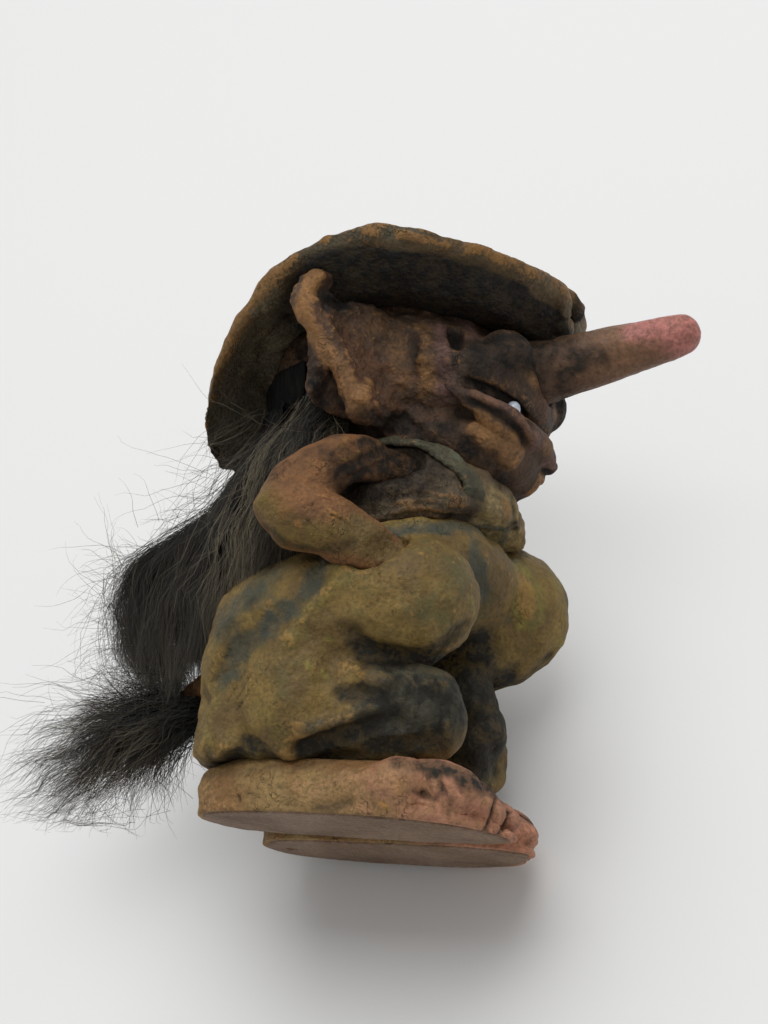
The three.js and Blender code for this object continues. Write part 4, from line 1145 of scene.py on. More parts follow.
@dataclass
class Upper:
    """The chest and belly in their shirt, the braces, and the arms with hands in the pockets."""

    voxel: float = 0.5
    brace_voxel: float = 0.35
    tuck_height: float = 78.0
    tuck: float = 1.0
    tuck_zone: Span = (0.0, 5.0)
    belly_zone: Span = (14.0, 24.0)
    belly_lift: float = 0.05
    brace_sink: float = 2.4
    sink_zone: Span = (10.0, 13.5)
    shoulder_tuck: float = 0.32
    shoulder_front: Span = (4.0, 15.0)
    shoulder_top: Span = (57.0, 63.0)
    weave_stretch: Place = (0.5, 0.5, 1.7)
    weave_size: float = 2.6
    weave_depth: float = 0.3
    brace_taper: float = 0.1
    taper_zone: Span = (-58.0, -50.0)
    clays: dict[str, Clay] = field(init=False, default_factory=dict)

    SHIRT_GRAIN = ((5.0, 0.6, 20), (1.8, 0.3, 21))
    ARM_GRAIN = ((7.0, 0.5, 22), (1.6, 0.1, 24))
    STRAP_GRAIN = ((2.5, 0.25, 26),)
    CHEST_MARKS = tuple(
        Mark(((x + 4 * i, y + 9 * i), (x + 36 + 3 * i, y - 5 + 9 * i), (x + 72 + 6 * i, y + 4 + 8 * i)),
             width, lift, layer, 0.3, 0.7)
        for x, y, width, lift, layer in ((384, 494, 1.3, 0.15, LIGHT), (386, 499, 1.2, -0.2, WASH))
        for i in range(4)
    ) + (
        Mark(((520, 492), (524, 508), (523, 528)), 3.4, 0.3, LIGHT, 1.5, 0.3),
        # Painted shade on the inner side of the belly's edge.
        Mark(((511, 497), (515, 512), (516, 530)), 2.4, -0.4, WASH, 0.9, 0.4),
        Mark(((496, 530), (510, 536), (522, 540)), 9.0, 0.0, MOSS, 2.0, 0.2),
        Mark(((400, 470), (412, 486), (424, 494)), 4.0, 0.0, WASH, 0.4, 0.5),
        Mark(((450, 470), (475, 490), (500, 500)), 4.0, 0.0, WASH, 0.3, 0.5),
        Mark(((386, 526), (410, 524), (440, 522), (470, 524), (505, 530)), 1.6, 0.3, TINT, 1.0, 0.4),
    )
    ARM_MARKS = (
        Mark(((343, 470), (370, 457), (392, 446)), 1.5, -0.35, WASH, 0.9, 0.8),
        Mark(((350, 477), (380, 464), (398, 455)), 1.5, -0.35, WASH, 0.9, 0.8),
        Mark(((352, 444), (372, 440), (386, 436)), 1.4, -0.3, WASH, 0.7, 0.6),
        Mark(((345, 458), (372, 452), (398, 446)), 6.0, 0.0, WASH, 0.7, 0.9),
        Mark(((340, 462), (366, 449), (388, 440)), 1.1, 0.2, LIGHT, 0.7, 0.9),
        Mark(((348, 473), (376, 460), (395, 450)), 1.0, 0.15, LIGHT, 0.6, 0.9),
        Mark(((345, 476), (360, 488), (380, 490), (402, 482)), 6.0, 0.0, WASH, 1.6, 0.3),
        Mark(((394, 446), (408, 454), (424, 468)), 7.0, -0.6, WASH, 1.5, 0.3),
        Mark(((318, 442), (336, 436), (352, 434)), 2.6, 0.0, WASH, 0.5, 0.6),
        Mark(((263, 503), (272, 525), (292, 538), (320, 540), (352, 537)), 6.5, 0.0, MOSS, 1.2, 0.35),
        Mark(((276, 518), (300, 520), (312, 512)), 3.0, -0.2, WASH, 0.4, 0.7),
        Mark(((262, 526), (290, 546), (320, 553), (352, 546)), 2.4, -0.3, WASH, 0.9, 0.5),
        Mark(((303, 507), (322, 498), (336, 503)), 0.45, -0.3, WASH, 0.5),
        Mark(((329, 513), (346, 521), (355, 531)), 0.45, -0.3, WASH, 0.4),
        Mark(((331, 511), (348, 519), (357, 529)), 0.5, 0.15, LIGHT, 0.5),
        Mark(((275, 472), (300, 456), (330, 446)), 5.5, 0.0, WASH, 0.6, 0.8),
        Mark(((362, 530), (380, 545), (402, 546)), 7.0, -0.6, TINT, 1.3, 0.2),
        Mark(((390, 552), (400, 546), (410, 540)), 6.0, -2.4),
        Mark(((297, 523), (300, 525)), 1.1, 0.2, LIGHT, 1.2),
    )

    def shape(self, modeller: Modeller) -> None:
        """Casts the pieces and presses in the folds."""
        torso = Clay.cast("torso", self.voxel)
        braces = [Clay.cast(f"{side}_brace", self.brace_voxel, swell=0.1, blur=8) for side in SIDES]
        arms = [Clay.cast(f"{side}_arm", self.voxel) for side in SIDES]
        for clay in (torso, *braces):
            front = ease(-clay.points[:, 1], *self.belly_zone)
            low = np.maximum(self.tuck_height - clay.points[:, 2], 0.0)
            clay.points[:, 1] += ease(low, *self.tuck_zone) * front * self.tuck
            clay.points[:, 2] += low * front * self.belly_lift
            if clay in braces:
                clay.points[:, 1] += ease(low, *self.sink_zone) * front * self.brace_sink
        for arm in arms:
            shoulder = ease(-arm.points[:, 1], *self.shoulder_front)
            shoulder = shoulder * ease(arm.points[:, 2], *self.shoulder_top)
            arm.points[:, 0] *= 1.0 - self.shoulder_tuck * shoulder
        fill_seams((torso, *arms), reach=4.0)
        modeller.work((torso, *arms), self.CHEST_MARKS + self.ARM_MARKS)
        torso.roughen(self.SHIRT_GRAIN)
        drawn = rough(torso.points * np.array(self.weave_stretch), self.weave_size, 28)
        torso.points = torso.points + torso.normals() * (drawn * self.weave_depth)[:, None]
        torso.layers[LIGHT] += ease(drawn, 0.15, 0.7) * 0.8
        torso.layers[WASH] += ease(-drawn, 0.1, 0.7) * 0.6
        for arm in arms:
            arm.roughen(self.ARM_GRAIN)
        for brace in braces:
            brace.roughen(self.STRAP_GRAIN)
            brace.points[:, 0] *= 1.0 - self.brace_taper * ease(-brace.points[:, 2], *self.taper_zone)
            brace.layers[TINT] += ease(rough(brace.points, 4.0, 27), 0.1, 0.6)
        self.clays = {clay.name: clay for clay in (torso, *braces, *arms)}

    def dress(self, shelter: Shelter) -> None:
        """Paints shirt, straps and arms."""
        paints = {"torso": (SHIRT, "shirt_paint"), "brace": (STRAP, "strap_paint"), "arm": (SKIN, "skin_paint")}
        made = {key: paint.material() for key, (paint, _) in paints.items()}
        for name, clay in self.clays.items():
            key = name.split("_")[-1]
            bare = 1.0 - 0.9 * np.clip(clay.layers[MOSS] + clay.layers[TINT], 0.0, 1.0)
            age(clay, shelter.measure(clay), wash=bare * 0.7)
            dress(clay, made[key])


@dataclass
class Trousers:
    """The baggy trousers: a seat and two legs with bulging knees and folds over the heels."""

    voxel: float = 0.55
    far_step: Place = (0.0, -4.0, 7.0)
    clay: Clay = field(init=False)

    CASTINGS = ("trousers", "right_trouser_leg", "left_trouser_leg")
    CLOTH_GRAIN = ((9.0, 0.7, 40), (3.0, 0.3, 43), (1.6, 0.12, 44))
    LEG_MARKS = (
        Mark(((322, 562), (313, 585), (290, 607), (268, 624), (245, 650), (222, 676)),
             4.6, -1.0, TINT, 0.9, 0.8),
        Mark(((313, 586), (290, 608), (268, 626)), 0.9, -0.6, WASH, 0.5, 0.4),
        Mark(((286, 596), (274, 610), (258, 630)), 0.8, -0.5, WASH, 0.4, 0.4),
        Mark(((228, 650), (220, 664), (214, 680)), 1.6, -0.6, WASH, 0.7, 0.5),
        Mark(((360, 558), (338, 578), (317, 600), (300, 625), (290, 640)), 3.4, 0.8, MOSS, 0.6, 0.9),
        Mark(((252, 674), (244, 686), (236, 700)), 0.6, -0.3, WASH, 0.2),
        Mark(((257, 680), (248, 694), (236, 710)), 0.6, -0.3, WASH, 0.2),
        Mark(((246, 668), (236, 684), (228, 700)), 0.6, -0.3, WASH, 0.3),
        Mark(((336, 577), (352, 573), (368, 571)), 0.6, -0.3, LIGHT, 0.9, 0.2),
        Mark(((400, 585), (412, 593), (424, 596)), 0.5, -0.2, WASH, 0.2),
        Mark(((366, 606), (384, 596), (396, 590)), 0.5, -0.3, LIGHT, 0.6, 0.4),
        Mark(((372, 600), (400, 615), (440, 612), (462, 598)), 7.0, 0.0, WASH, 0.22, 0.5),
        Mark(((354, 636), (372, 648), (405, 656), (440, 650), (466, 626)), 3.6, -1.0, WASH, 1.0, 0.5),
        Mark(((362, 650), (390, 658), (426, 660), (456, 654)), 3.6, -0.8, WASH, 1.2, 0.4),
        Mark(((390, 680), (420, 676), (448, 680)), 7.0, 1.8, TINT, 0.9, 0.4),
        Mark(((376, 662), (404, 664), (430, 664), (456, 664)), 4.6, 0.4, WASH, 2.0, 0.35),
        Mark(((345, 668), (360, 672), (385, 684)), 3.6, 1.2, LIGHT, 0.5, 0.6),
        Mark(((342, 694), (360, 692), (378, 697)), 2.6, -0.8, WASH, 1.4, 0.8),
        Mark(((301, 748), (336, 736), (367, 725), (397, 720)), 3.2, -2.0, WASH, 1.7, 0.3),
        Mark(((306, 730), (336, 722), (372, 712)), 2.6, 0.7, TINT, 0.9, 0.6),
        Mark(((297, 726), (296, 738), (300, 752)), 2.2, 0.3, LIGHT, 0.9, 0.5),
        Mark(((396, 700), (425, 694), (456, 700)), 10.0, 0.0, TINT, 1.4, 0.3),
        Mark(((388, 716), (420, 724), (456, 712)), 10.0, 0.0, WASH, 1.0, 0.3),
        # Wash over the shin's top under the knee: painted shade.
        Mark(((396, 680), (424, 690), (456, 690)), 10.0, 0.0, WASH, 0.75, 0.3),
        Mark(((416, 676), (422, 700), (414, 730)), 0.8, -0.4, WASH, 0.5, 0.4),
        Mark(((434, 676), (446, 700), (440, 735)), 0.8, -0.4, WASH, 0.5, 0.4),
        Mark(((408, 690), (428, 682), (446, 684)), 1.0, 0.2, LIGHT, 0.6, 0.8),
        Mark(((400, 676), (412, 690), (404, 712)), 1.4, -0.6, WASH, 0.7, 0.5),
        Mark(((426, 690), (440, 700), (448, 716)), 1.2, -0.5, WASH, 0.6, 0.5),
        Mark(((310, 756), (350, 748), (400, 744), (440, 742)), 4.4, -0.8, WASH, 1.3, 0.5),
        Mark(((230, 764), (243, 752), (256, 745), (268, 756), (282, 766)), 3.8, -0.6, WASH, 1.7, 0.9),
        Mark(((205, 774), (249, 770), (303, 765), (355, 756)), 1.6, -0.7, WASH, 0.9, 0.5),
        Mark(((261, 712), (270, 722), (278, 734)), 4.0, 0.0, MOSS, 0.4, 0.8),
        Mark(((214, 700), (206, 722), (206, 746)), 4.0, 0.0, MOSS, 0.5, 0.7),
        Mark(((208, 752), (214, 764), (212, 772)), 2.4, -0.4, WASH, 0.8, 0.6),
        Mark(((307, 664), (309, 667)), 1.1, 0.1, MOSS, 1.3),
        Mark(((323, 673), (326, 676)), 1.1, 0.1, MOSS, 1.3),
        Mark(((328, 638), (331, 640)), 1.0, 0.1, MOSS, 1.3),
        Mark(((378, 549), (382, 551)), 1.2, 0.1, MOSS, 1.2, 0.4),
        Mark(((470, 600), (474, 612)), 1.6, 0.2, MOSS, 1.2, 0.4),
        Mark(((340, 560), (362, 548), (392, 540)), 2.0, 0.0, TINT, 0.5, 0.6),
        Mark(((320, 558), (345, 552), (376, 546)), 1.8, -0.4, WASH, 0.7, 0.6),
    )
    FAR_MARKS = (
        Mark(((518, 572), (525, 592), (528, 612)), 5.6, 0.3, MOSS, 2.0, 0.4),
        Mark(((519, 580), (524, 596), (526, 608)), 3.2, 0.1, LIGHT, 1.8, 0.4),
        Mark(((535, 545), (548, 560), (556, 585)), 3.2, 0.0, MOSS, 0.7, 0.5),
        Mark(((478, 560), (482, 580), (484, 600)), 4.0, 0.0, TINT, 0.8, 0.5),
        Mark(((470, 692), (500, 690), (530, 678), (552, 660)), 4.6, -0.6, WASH, 0.8, 0.6),
        Mark(((468, 636), (472, 660), (476, 690)), 8.0, 0.6, WASH, 2.0, 0.1),
        Mark(((480, 645), (505, 655), (530, 650)), 6.0, 0.0, WASH, 0.35, 0.5),
        Mark(((470, 690), (476, 712), (481, 735)), 10.0, 2.8),
        Mark(((474, 690), (482, 712), (486, 735)), 10.0, 2.4),
        Mark(((500, 757), (505, 764)), 6.0, -2.2),
        Mark(((470, 712), (486, 735), (504, 712)), 12.0, 0.0, WASH, 1.9, 0.15),
        Mark(((474, 700), (490, 730), (492, 760)), 10.0, 0.0, TINT, 1.6, 0.2),
        Mark(((478, 690), (496, 700), (510, 715)), 7.0, 0.0, WASH, 1.4, 0.4),
        Mark(((506, 700), (510, 720), (502, 745)), 2.0, 0.2, LIGHT, 0.5, 0.5),
        Mark(((466, 750), (488, 766), (500, 765)), 6.0, 0.0, WASH, 1.6, 0.2),
    )
    SEAT_MARKS = (
        Mark(((386, 536), (420, 530), (455, 527), (505, 538)), 3.2, 0.3, TINT, 1.0, 0.5),
        Mark(((474, 545), (478, 565), (480, 590)), 3.0, -0.3, TINT, 0.9, 0.4),
        Mark(((215, 640), (240, 615), (265, 590)), 4.0, 0.0, MOSS, 0.4, 0.6),
        Mark(((224, 620), (244, 598), (268, 575)), 8.0, 0.0, TINT, 0.8, 0.5),
        Mark(((236, 630), (262, 604), (290, 578)), 6.0, 0.0, WASH, 0.3, 0.7),
        Mark(((214, 650), (232, 626), (250, 604)), 4.0, 0.0, WASH, 0.4, 0.7),
        Mark(((196, 682), (204, 690), (208, 700)), 2.4, -0.4, WASH, 1.0, 0.4),
    )

    def shape(self, modeller: Modeller) -> None:
        """Casts seat and legs as one skin and presses in the folds."""
        castings = [Clay.cast(name, self.voxel, swell=0.35) for name in self.CASTINGS]
        self.clay = Clay.fused("trousers", castings, self.voxel, reach=6.0)
        modeller.work([self.clay], self.LEG_MARKS, self.far_step)
        modeller.work([self.clay], self.FAR_MARKS, None)
        modeller.work([self.clay], self.SEAT_MARKS)
        self.clay.roughen(self.CLOTH_GRAIN)

    def dress(self, shelter: Shelter) -> None:
        """Paints the cloth."""
        age(self.clay, shelter.measure(self.clay, samples=5000))
        dress(self.clay, CLOTH.material())


@dataclass
class Feet:
    """The bare feet with four toes each, and the flat bare soles."""

    voxel: float = 0.45
    pink: Span = (0.0, 30.0)
    bed: float = 0.35
    free_zone: Span = (0.3, 1.6)
    inset: float = 0.965
    far_lead: float = 3.4
    near_reach: float = 3.6
    reach_zone: Span = (12.0, 34.0)
    toe_fall: float = 0.42
    fall_zone: Span = (26.0, 41.0)
    ledge_width: float = 4.0
    feet: list[Clay] = field(init=False, default_factory=list)
    soles: list[Clay] = field(init=False, default_factory=list)

    CASTINGS = (("foot", 0.35, 12), ("sole", 0.3, 6))
    FOOT_GRAIN = ((6.0, 0.5, 50), (1.6, 0.16, 52))
    INSTEP_MARKS = (
        Mark(((396, 776), (430, 778), (456, 786)), 12.0, 2.0),
        Mark(((410, 771), (440, 774), (464, 784)), 10.0, 1.5),
    )
    LEDGE = ((392, 806), (430, 812), (465, 822), (496, 833))
    FOOT_MARKS = (
        Mark(((398, 784), (399, 795)), 1.3, 0.1, MOSS, 1.4, 0.3),
        Mark(((382, 803), (386, 807)), 1.1, 0.1, MOSS, 1.3, 0.3),
        Mark(((200, 776), (249, 771), (303, 766), (355, 757)), 2.0, 0.0, WASH, 0.6, 0.7),
        Mark(((211, 818), (240, 815)), 0.6, -0.3, WASH, 0.6),
        Mark(((318, 808), (335, 806), (350, 804)), 1.8, -0.3, WASH, 0.8, 0.7),
        Mark(((398, 762), (430, 764), (455, 769), (482, 784), (504, 800)), 3.8, 0.0, WASH, 1.1, 0.5),
        Mark(((420, 768), (446, 770), (474, 783), (500, 800)), 2.4, 0.0, WASH, 0.7, 0.6),
        Mark(((414, 792), (424, 795), (430, 790), (428, 782)), 1.4, -0.5, WASH, 0.5, 0.5),
        Mark(((436, 774), (442, 790), (434, 800), (424, 796)), 1.6, -0.6, WASH, 0.8, 0.5),
        Mark(((462, 790), (472, 800), (466, 812)), 1.3, -0.3, WASH, 0.5, 0.6),
        Mark(((380, 776), (410, 772), (432, 778)), 3.0, 0.0, LIGHT, 0.9, 0.7),
        Mark(((390, 800), (420, 806), (450, 814)), 3.0, 0.0, LIGHT, 0.9, 0.6),
        Mark(((497, 798), (492, 816), (485, 833)), 1.2, -1.0, WASH, 1.3, 0.2),
        Mark(((511, 806), (505, 822), (498, 836)), 1.1, -0.8, WASH, 1.2, 0.2),
        Mark(((430, 800), (450, 815), (475, 826)), 2.4, 0.2, LIGHT, 0.9, 0.5),
        Mark(((440, 786), (452, 800), (448, 814)), 1.2, -0.3, WASH, 0.6, 0.6),
        Mark(((396, 778), (420, 784), (436, 792)), 2.0, 0.0, MOSS, 0.5, 0.8),
        Mark(((470, 790), (486, 800), (496, 812)), 1.6, 0.2, LIGHT, 0.8, 0.6),
        Mark(((300, 790), (340, 782), (380, 772)), 3.4, 0.0, LIGHT, 0.6, 0.7),
        Mark(((238, 796), (239, 800)), 0.7, -0.3, WASH, 1.0),
        Mark(((204, 790), (210, 806), (222, 816)), 4.0, 0.0, LIGHT, 0.5, 0.7),
    )

    def shape(self, modeller: Modeller) -> None:
        """Casts each foot as one mass down to the ground, with a thin bare sole let into its underside."""
        for side in SIDES:
            castings = [Clay.cast(f"{side}_{name}", self.voxel, swell, blur)
                        for name, swell, blur in self.CASTINGS]
            foot = Clay.fused(f"{side}_foot", castings, self.voxel, reach=5.0)
            foot.nodes = (f"{side}_foot",)
            self.point_toes(foot, side)
            self.feet.append(foot)
        modeller.work(self.feet, self.INSTEP_MARKS)
        ledge = modeller.line([foot.tree() for foot in self.feet], self.LEDGE)
        for foot, line in itertools.product(self.feet, (ledge, ledge * modeller.MIRROR)):
            foot.soften(line, self.ledge_width, times=40)
        modeller.work(self.feet, self.FOOT_MARKS)
        for foot in self.feet:
            foot.roughen(self.FOOT_GRAIN, ease(foot.points[:, 2], *self.free_zone))
            foot.points[:, 2] = np.maximum(foot.points[:, 2], self.bed)
        for side in SIDES:
            sole = Clay.cast(f"{side}_sole", self.voxel, swell=0.0, blur=3)
            middle = sole.points.mean(axis=0)
            sole.points[:, :2] = middle[:2] + (sole.points[:, :2] - middle[:2]) * self.inset
            self.point_toes(sole, side)
            self.soles.append(sole)

    def point_toes(self, clay: Clay, side: str) -> None:
        """Slopes the toes down, and draws the near foot's forward to level with the far foot's.

        Args:
            clay: a foot or a sole.
            side: which foot.
        """
        near = side == SIDES[0]
        ahead = -clay.points[:, 1] + (self.far_lead if near else 0.0)
        clay.points[:, 2] *= 1.0 - self.toe_fall * ease(ahead, *self.fall_zone)
        if near:
            clay.points[:, 1] -= self.near_reach * ease(-clay.points[:, 1], *self.reach_zone)

    def dress(self, shelter: Shelter) -> None:
        """Paints the toes pink and leaves the soles bare."""
        foot_paint = FOOT.material()
        latex = LATEX.material()
        for foot in self.feet:
            age(foot, shelter.measure(foot), wash=0.6, light=0.7)
            uneven = rough(foot.points, 8.0, 62) * 5.0
            uneven = uneven + rough(foot.points * np.array((1.0, 0.4, 1.0)), 3.0, 63) * 5.0
            foot.layers[TINT] += ease(-foot.points[:, 1] + uneven * 1.5, *self.pink) * 0.85
            dress(foot, foot_paint)
        for sole in self.soles:
            streaked = rough(sole.points * np.array((1.0, 0.35, 1.0)), 5.0, 61)
            sole.layers[WASH] += ease(streaked, 0.0, 0.9) * 0.7
            dress(sole, latex)


class FurTree:
    """A geometry-nodes tree that turns drawn hair lines into fine tapering tubes."""

    # A hair loses this share of its girth to the tip, most of it late.
    TAPER = 0.72
    TAPER_CURVE = 2.2
    INPUTS = (("Lines", "Geometry"), ("Thickness", "Float"), ("Frizz", "Float"), ("Curl Size", "Float"),
              ("Seed", "Float"), ("Sides", "Int"), ("Fur", "Material"))

    def __init__(self) -> None:
        """Builds the tree with its named inputs."""
        self.tree = bpy.data.node_groups.new("fur_strands", "GeometryNodeTree")
        face = self.tree.interface
        sockets = [face.new_socket(name=name, in_out="INPUT", socket_type=f"NodeSocket{kind}")
                   for name, kind in self.INPUTS]
        self.inputs = {socket.name: socket.identifier for socket in sockets}
        face.new_socket(name="Fur Mesh", in_out="OUTPUT", socket_type="NodeSocketGeometry")
        bench = Bench(self.tree)
        add = bench.node
        given = {name: add("NodeGroupInput", {}, {}, name) for name in self.inputs}
        line = add("GeometryNodeMeshToCurve", {}, {"Mesh": given["Lines"]})
        along, girth = (add("GeometryNodeInputNamedAttribute", {"data_type": "FLOAT"}, {"Name": name})
                        for name in ("along", "girth"))
        curls = add("ShaderNodeTexNoise", {"noise_dimensions": "4D"},
                    {"W": given["Seed"], "Scale": given["Curl Size"], "Detail": 1.0}, "Color")
        centred = bench.vector("SUBTRACT", curls, (0.5, 0.5, 0.5))
        loose = {0: centred, "Scale": along * given["Frizz"]}
        waved = add("ShaderNodeVectorMath", {"operation": "SCALE"}, loose)
        moved = add("GeometryNodeSetPosition", {}, {"Geometry": line, "Offset": waved})
        ring = add("GeometryNodeCurvePrimitiveCircle", {"mode": "RADIUS"},
                   {"Resolution": given["Sides"], "Radius": given["Thickness"]})
        tube = add("GeometryNodeCurveToMesh", {},
                   {"Curve": moved, "Profile Curve": ring, "Scale": girth, "Fill Caps": True})
        smooth = add("GeometryNodeSetShadeSmooth", {}, {"Geometry": tube})
        real = add("GeometryNodeRealizeInstances", {}, {"Geometry": smooth})
        coated = add("GeometryNodeSetMaterial", {}, {"Geometry": real, "Material": given["Fur"]})
        add("NodeGroupOutput", {}, {0: coated})

    def grow(self, name: str, lines: Grid, values: dict, fur: bpy.types.Material, shades: Grid) -> None:
        """Makes one lock of fur as a plain mesh.

        Args:
            name: the piece's name.
            lines: hairs by points by three, in figure millimetres.
            values: the tree's inputs by name.
            fur: the material.
            shades: each hair's own tone, 0 to 1.
        """
        hairs, points = lines.shape[:2]
        number = np.arange(hairs * points).reshape(hairs, points)
        edges = np.stack((number[:, :-1], number[:, 1:]), axis=2).reshape(-1, 2)
        drawn = bpy.data.meshes.new(f"{name}_lines")
        drawn.from_pydata(to_frame(lines.reshape(-1, 3)).tolist(), edges.tolist(), [])
        share = np.linspace(0.0, 1.0, points)
        for key, column in (("along", np.tile(share, hairs)), ("shade", np.repeat(shades, points)),
                            ("girth", np.tile(1.0 - self.TAPER * share ** self.TAPER_CURVE, hairs))):
            drawn.attributes.new(key, "FLOAT", "POINT").data.foreach_set("value", column)
        drawn.materials.append(fur)
        piece = bpy.data.objects.new(name, drawn)
        bpy.context.scene.collection.objects.link(piece)
        strands = piece.modifiers.new("strands", "NODES")
        strands.node_group = self.tree
        for key, value in {**values, "Fur": fur}.items():
            strands[self.inputs[key]] = value
        made = bpy.data.meshes.new_from_object(piece.evaluated_get(bpy.context.evaluated_depsgraph_get()))
        piece.modifiers.remove(strands)
        made.name = name
        piece.data = made
        bpy.data.meshes.remove(drawn)
        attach(piece, BODY)
        log.info("lock %s: %d hairs, %d faces", name, hairs, len(made.polygons))


@dataclass(frozen=True)
class Lock:
    """A lock of hair: which part of the strip it springs from, how full it is, and how light it is painted:
    lighter at the lit sides, darker at the shaded back.
    """

    name: str
    turns: Span
    count: int
    painted_light: float


@dataclass
class Fur:
    """The long hair under the hat and the tuft on the tail, on their dark backing."""

    points: int = 11
    thickness: float = 0.062
    wisp_thickness: float = 0.042
    frizz: float = 0.009
    tuft_frizz: float = 0.01
    curl_size: float = 120.0
    curl_seed: float = 3.0
    sides: int = 3
    lock_leaders: int = 110
    tuft_leaders: int = 80
    leader_bend: float = 1.6
    stray_share: float = 0.1
    stray_reach: float = 6.0
    ground: float = 0.8
    strip_reach: float = 24.5
    strip_depth: float = 25.0
    side_turns: Span = (10.0, 30.0)
    front_turns: Span = (25.0, 66.0)
    root_height: Span = (80.0, 91.0)
    end_height: float = 28.0
    end_limit: float = 72.0
    front_rise: float = 13.0
    tuft_root: Place = (0.0, 36.5, 28.0)
    tuft_count: int = 4000
    tuft_reach: float = 45.0
    tuft_shares: Span = (0.35, 1.05)
    tuft_dip: Span = (-27.0, 29.0)
    tuft_spread: float = 12.0
    tuft_foot: Place = (2.4, 1.4, 3.2)
    # How light the tuft's hairs are painted: painted shade, a little darker than the lit locks.
    tuft_painted_light: float = 0.85
    tuft_middle: Place = (0.0, 40.0, 25.0)
    tuft_core: float = 0.5
    rear_limit: float = 84.0
    root_side: float = -4.0
    root_slant: Span = (0.58, 0.34)
    root_spot: Span = (34.0, 31.2)
    root_gap: float = 3.6
    root_inner: float = 4.0
    core_voxel: float = 0.9
    core_depth: float = 3.4
    core_zone: Span = (7.0, 17.0)
    core_end: float = 42.0
    wisp_reach: Span = (8.0, 21.0)
    wisp_shades: Span = (0.35, 0.95)
    neck_wisps: int = 300
    rear_wisps: int = 320
    tuft_wisps: int = 260

    CORE_GRAIN = ((6.0, 1.0, 70), (2.0, 0.5, 71))
    HEIGHTS = (30.0, 38.0, 45.0, 55.0, 62.0, 66.0, 72.0, 80.0, 92.0)
    OUTSIDES = (47.0, 55.0, 58.5, 57.5, 48.0, 37.5, 34.0, 32.0, 28.0)
    INSIDES = (33.0, 34.0, 33.0, 31.0, 29.0, 28.0, 27.0, 26.0, 24.0)
    TUFT_DIPS = (-85.0, -65.0, -48.0, -36.0, -18.0, 0.0, 18.0, 36.0)
    TUFT_LENGTHS = (0.42, 0.52, 0.76, 1.0, 0.92, 0.68, 0.56, 0.5)
    # The last number is painted light: the side locks lighter as if lit, the back locks darker as if in shade.
    LOCKS = (
        Lock("hair_right_front", (-90.0, -60.0), 900, 1.25),
        Lock("hair_right", (-66.0, -44.0), 2300, 1.5),
        Lock("hair_right_back", (-44.0, -22.0), 2300, 0.6),
        Lock("hair_back_right", (-30.0, 0.0), 2300, 0.4),
        Lock("hair_back_left", (0.0, 30.0), 2300, 0.4),
        Lock("hair_left_back", (22.0, 44.0), 2300, 0.6),
        Lock("hair_left", (44.0, 66.0), 2300, 1.5),
        Lock("hair_left_front", (60.0, 90.0), 900, 1.25),
    )

    def core(self, node: str, shrink: float) -> Clay:
        """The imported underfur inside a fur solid."""
        clay = Clay.cast(node, self.core_voxel, swell=-shrink, blur=20)
        clay.roughen(self.CORE_GRAIN)
        return clay

    def fall(self, lock: Lock, chance: np.random.Generator) -> Grid:
        """Draws one lock's hairs: straight down at the sides, looped out behind.

        Args:
            lock: the lock.
            chance: the seeded dice.

        Returns:
            Hairs by points by three, in figure millimetres.
        """
        count = lock.count
        turn = chance.uniform(*lock.turns, count)[:, None]
        side = ease(np.abs(turn), *self.side_turns)
        front = ease(np.abs(turn), *self.front_turns)
        outer = chance.uniform(0.0, 1.0, count)[:, None]
        looped = np.where(outer > 0.35, 0.7 + 0.46 * (outer - 0.35), outer)
        share = np.linspace(0.0, 1.0, self.points)[None, :]
        top = chance.uniform(*self.root_height, count)[:, None]
        short = np.abs(chance.normal(0.0, 6.0, count))[:, None]
        short = short + 0.8 * np.maximum(np.abs(turn) - self.front_turns[1], 0.0)
        end = np.minimum(self.end_height + self.front_rise * front + short, self.end_limit)
        height = top - (top - end) * share
        lobe = np.interp(height, self.HEIGHTS, self.INSIDES) * (1.0 - looped)
        lobe = lobe + np.interp(height, self.HEIGHTS, self.OUTSIDES) * looped
        turn = np.radians(turn)
        swing = (9.0 - 5.0 * front) * ease(share, 0.0, 0.5) * (0.4 + 0.8 * outer)
        hang = np.cos(turn) * self.strip_depth + swing
        lines = np.empty((count, self.points, 3))
        lines[..., 0] = np.sin(turn) * (self.strip_reach - 1.0 + (1.0 + 5.0 * outer) * ease(share, 0.05, 0.5))
        lines[..., 1] = lobe * (1.0 - side) + hang * side
        lines[..., 2] = height
        return self.tousle(lines, chance, self.lock_leaders)

    def fan(self, chance: np.random.Generator) -> Grid:
        """Draws the tail tuft's hairs.

        Args:
            chance: the seeded dice.

        Returns:
            Hairs by points by three, in figure millimetres.
        """
        count = self.tuft_count
        dip = np.clip(chance.normal(*self.tuft_dip, count), self.TUFT_DIPS[0], self.TUFT_DIPS[-1])
        reach = self.tuft_reach * np.interp(dip, self.TUFT_DIPS, self.TUFT_LENGTHS)
        reach = reach * chance.uniform(*self.tuft_shares, count)
        aside = np.radians(chance.normal(0.0, self.tuft_spread, count))[:, None]
        share = np.linspace(0.0, 1.0, self.points)[None, :]
        bent = np.radians(dip)[:, None] * (0.55 + 0.45 * share)
        away = reach[:, None] * share
        start = chance.normal(0.0, 1.0, (count, 1, 3)) * np.array(self.tuft_foot)
        lines = np.stack((away * np.sin(aside), away * np.cos(bent), away * np.sin(bent)), axis=2)
        return self.tousle(lines + start + np.array(self.tuft_root), chance, self.tuft_leaders)

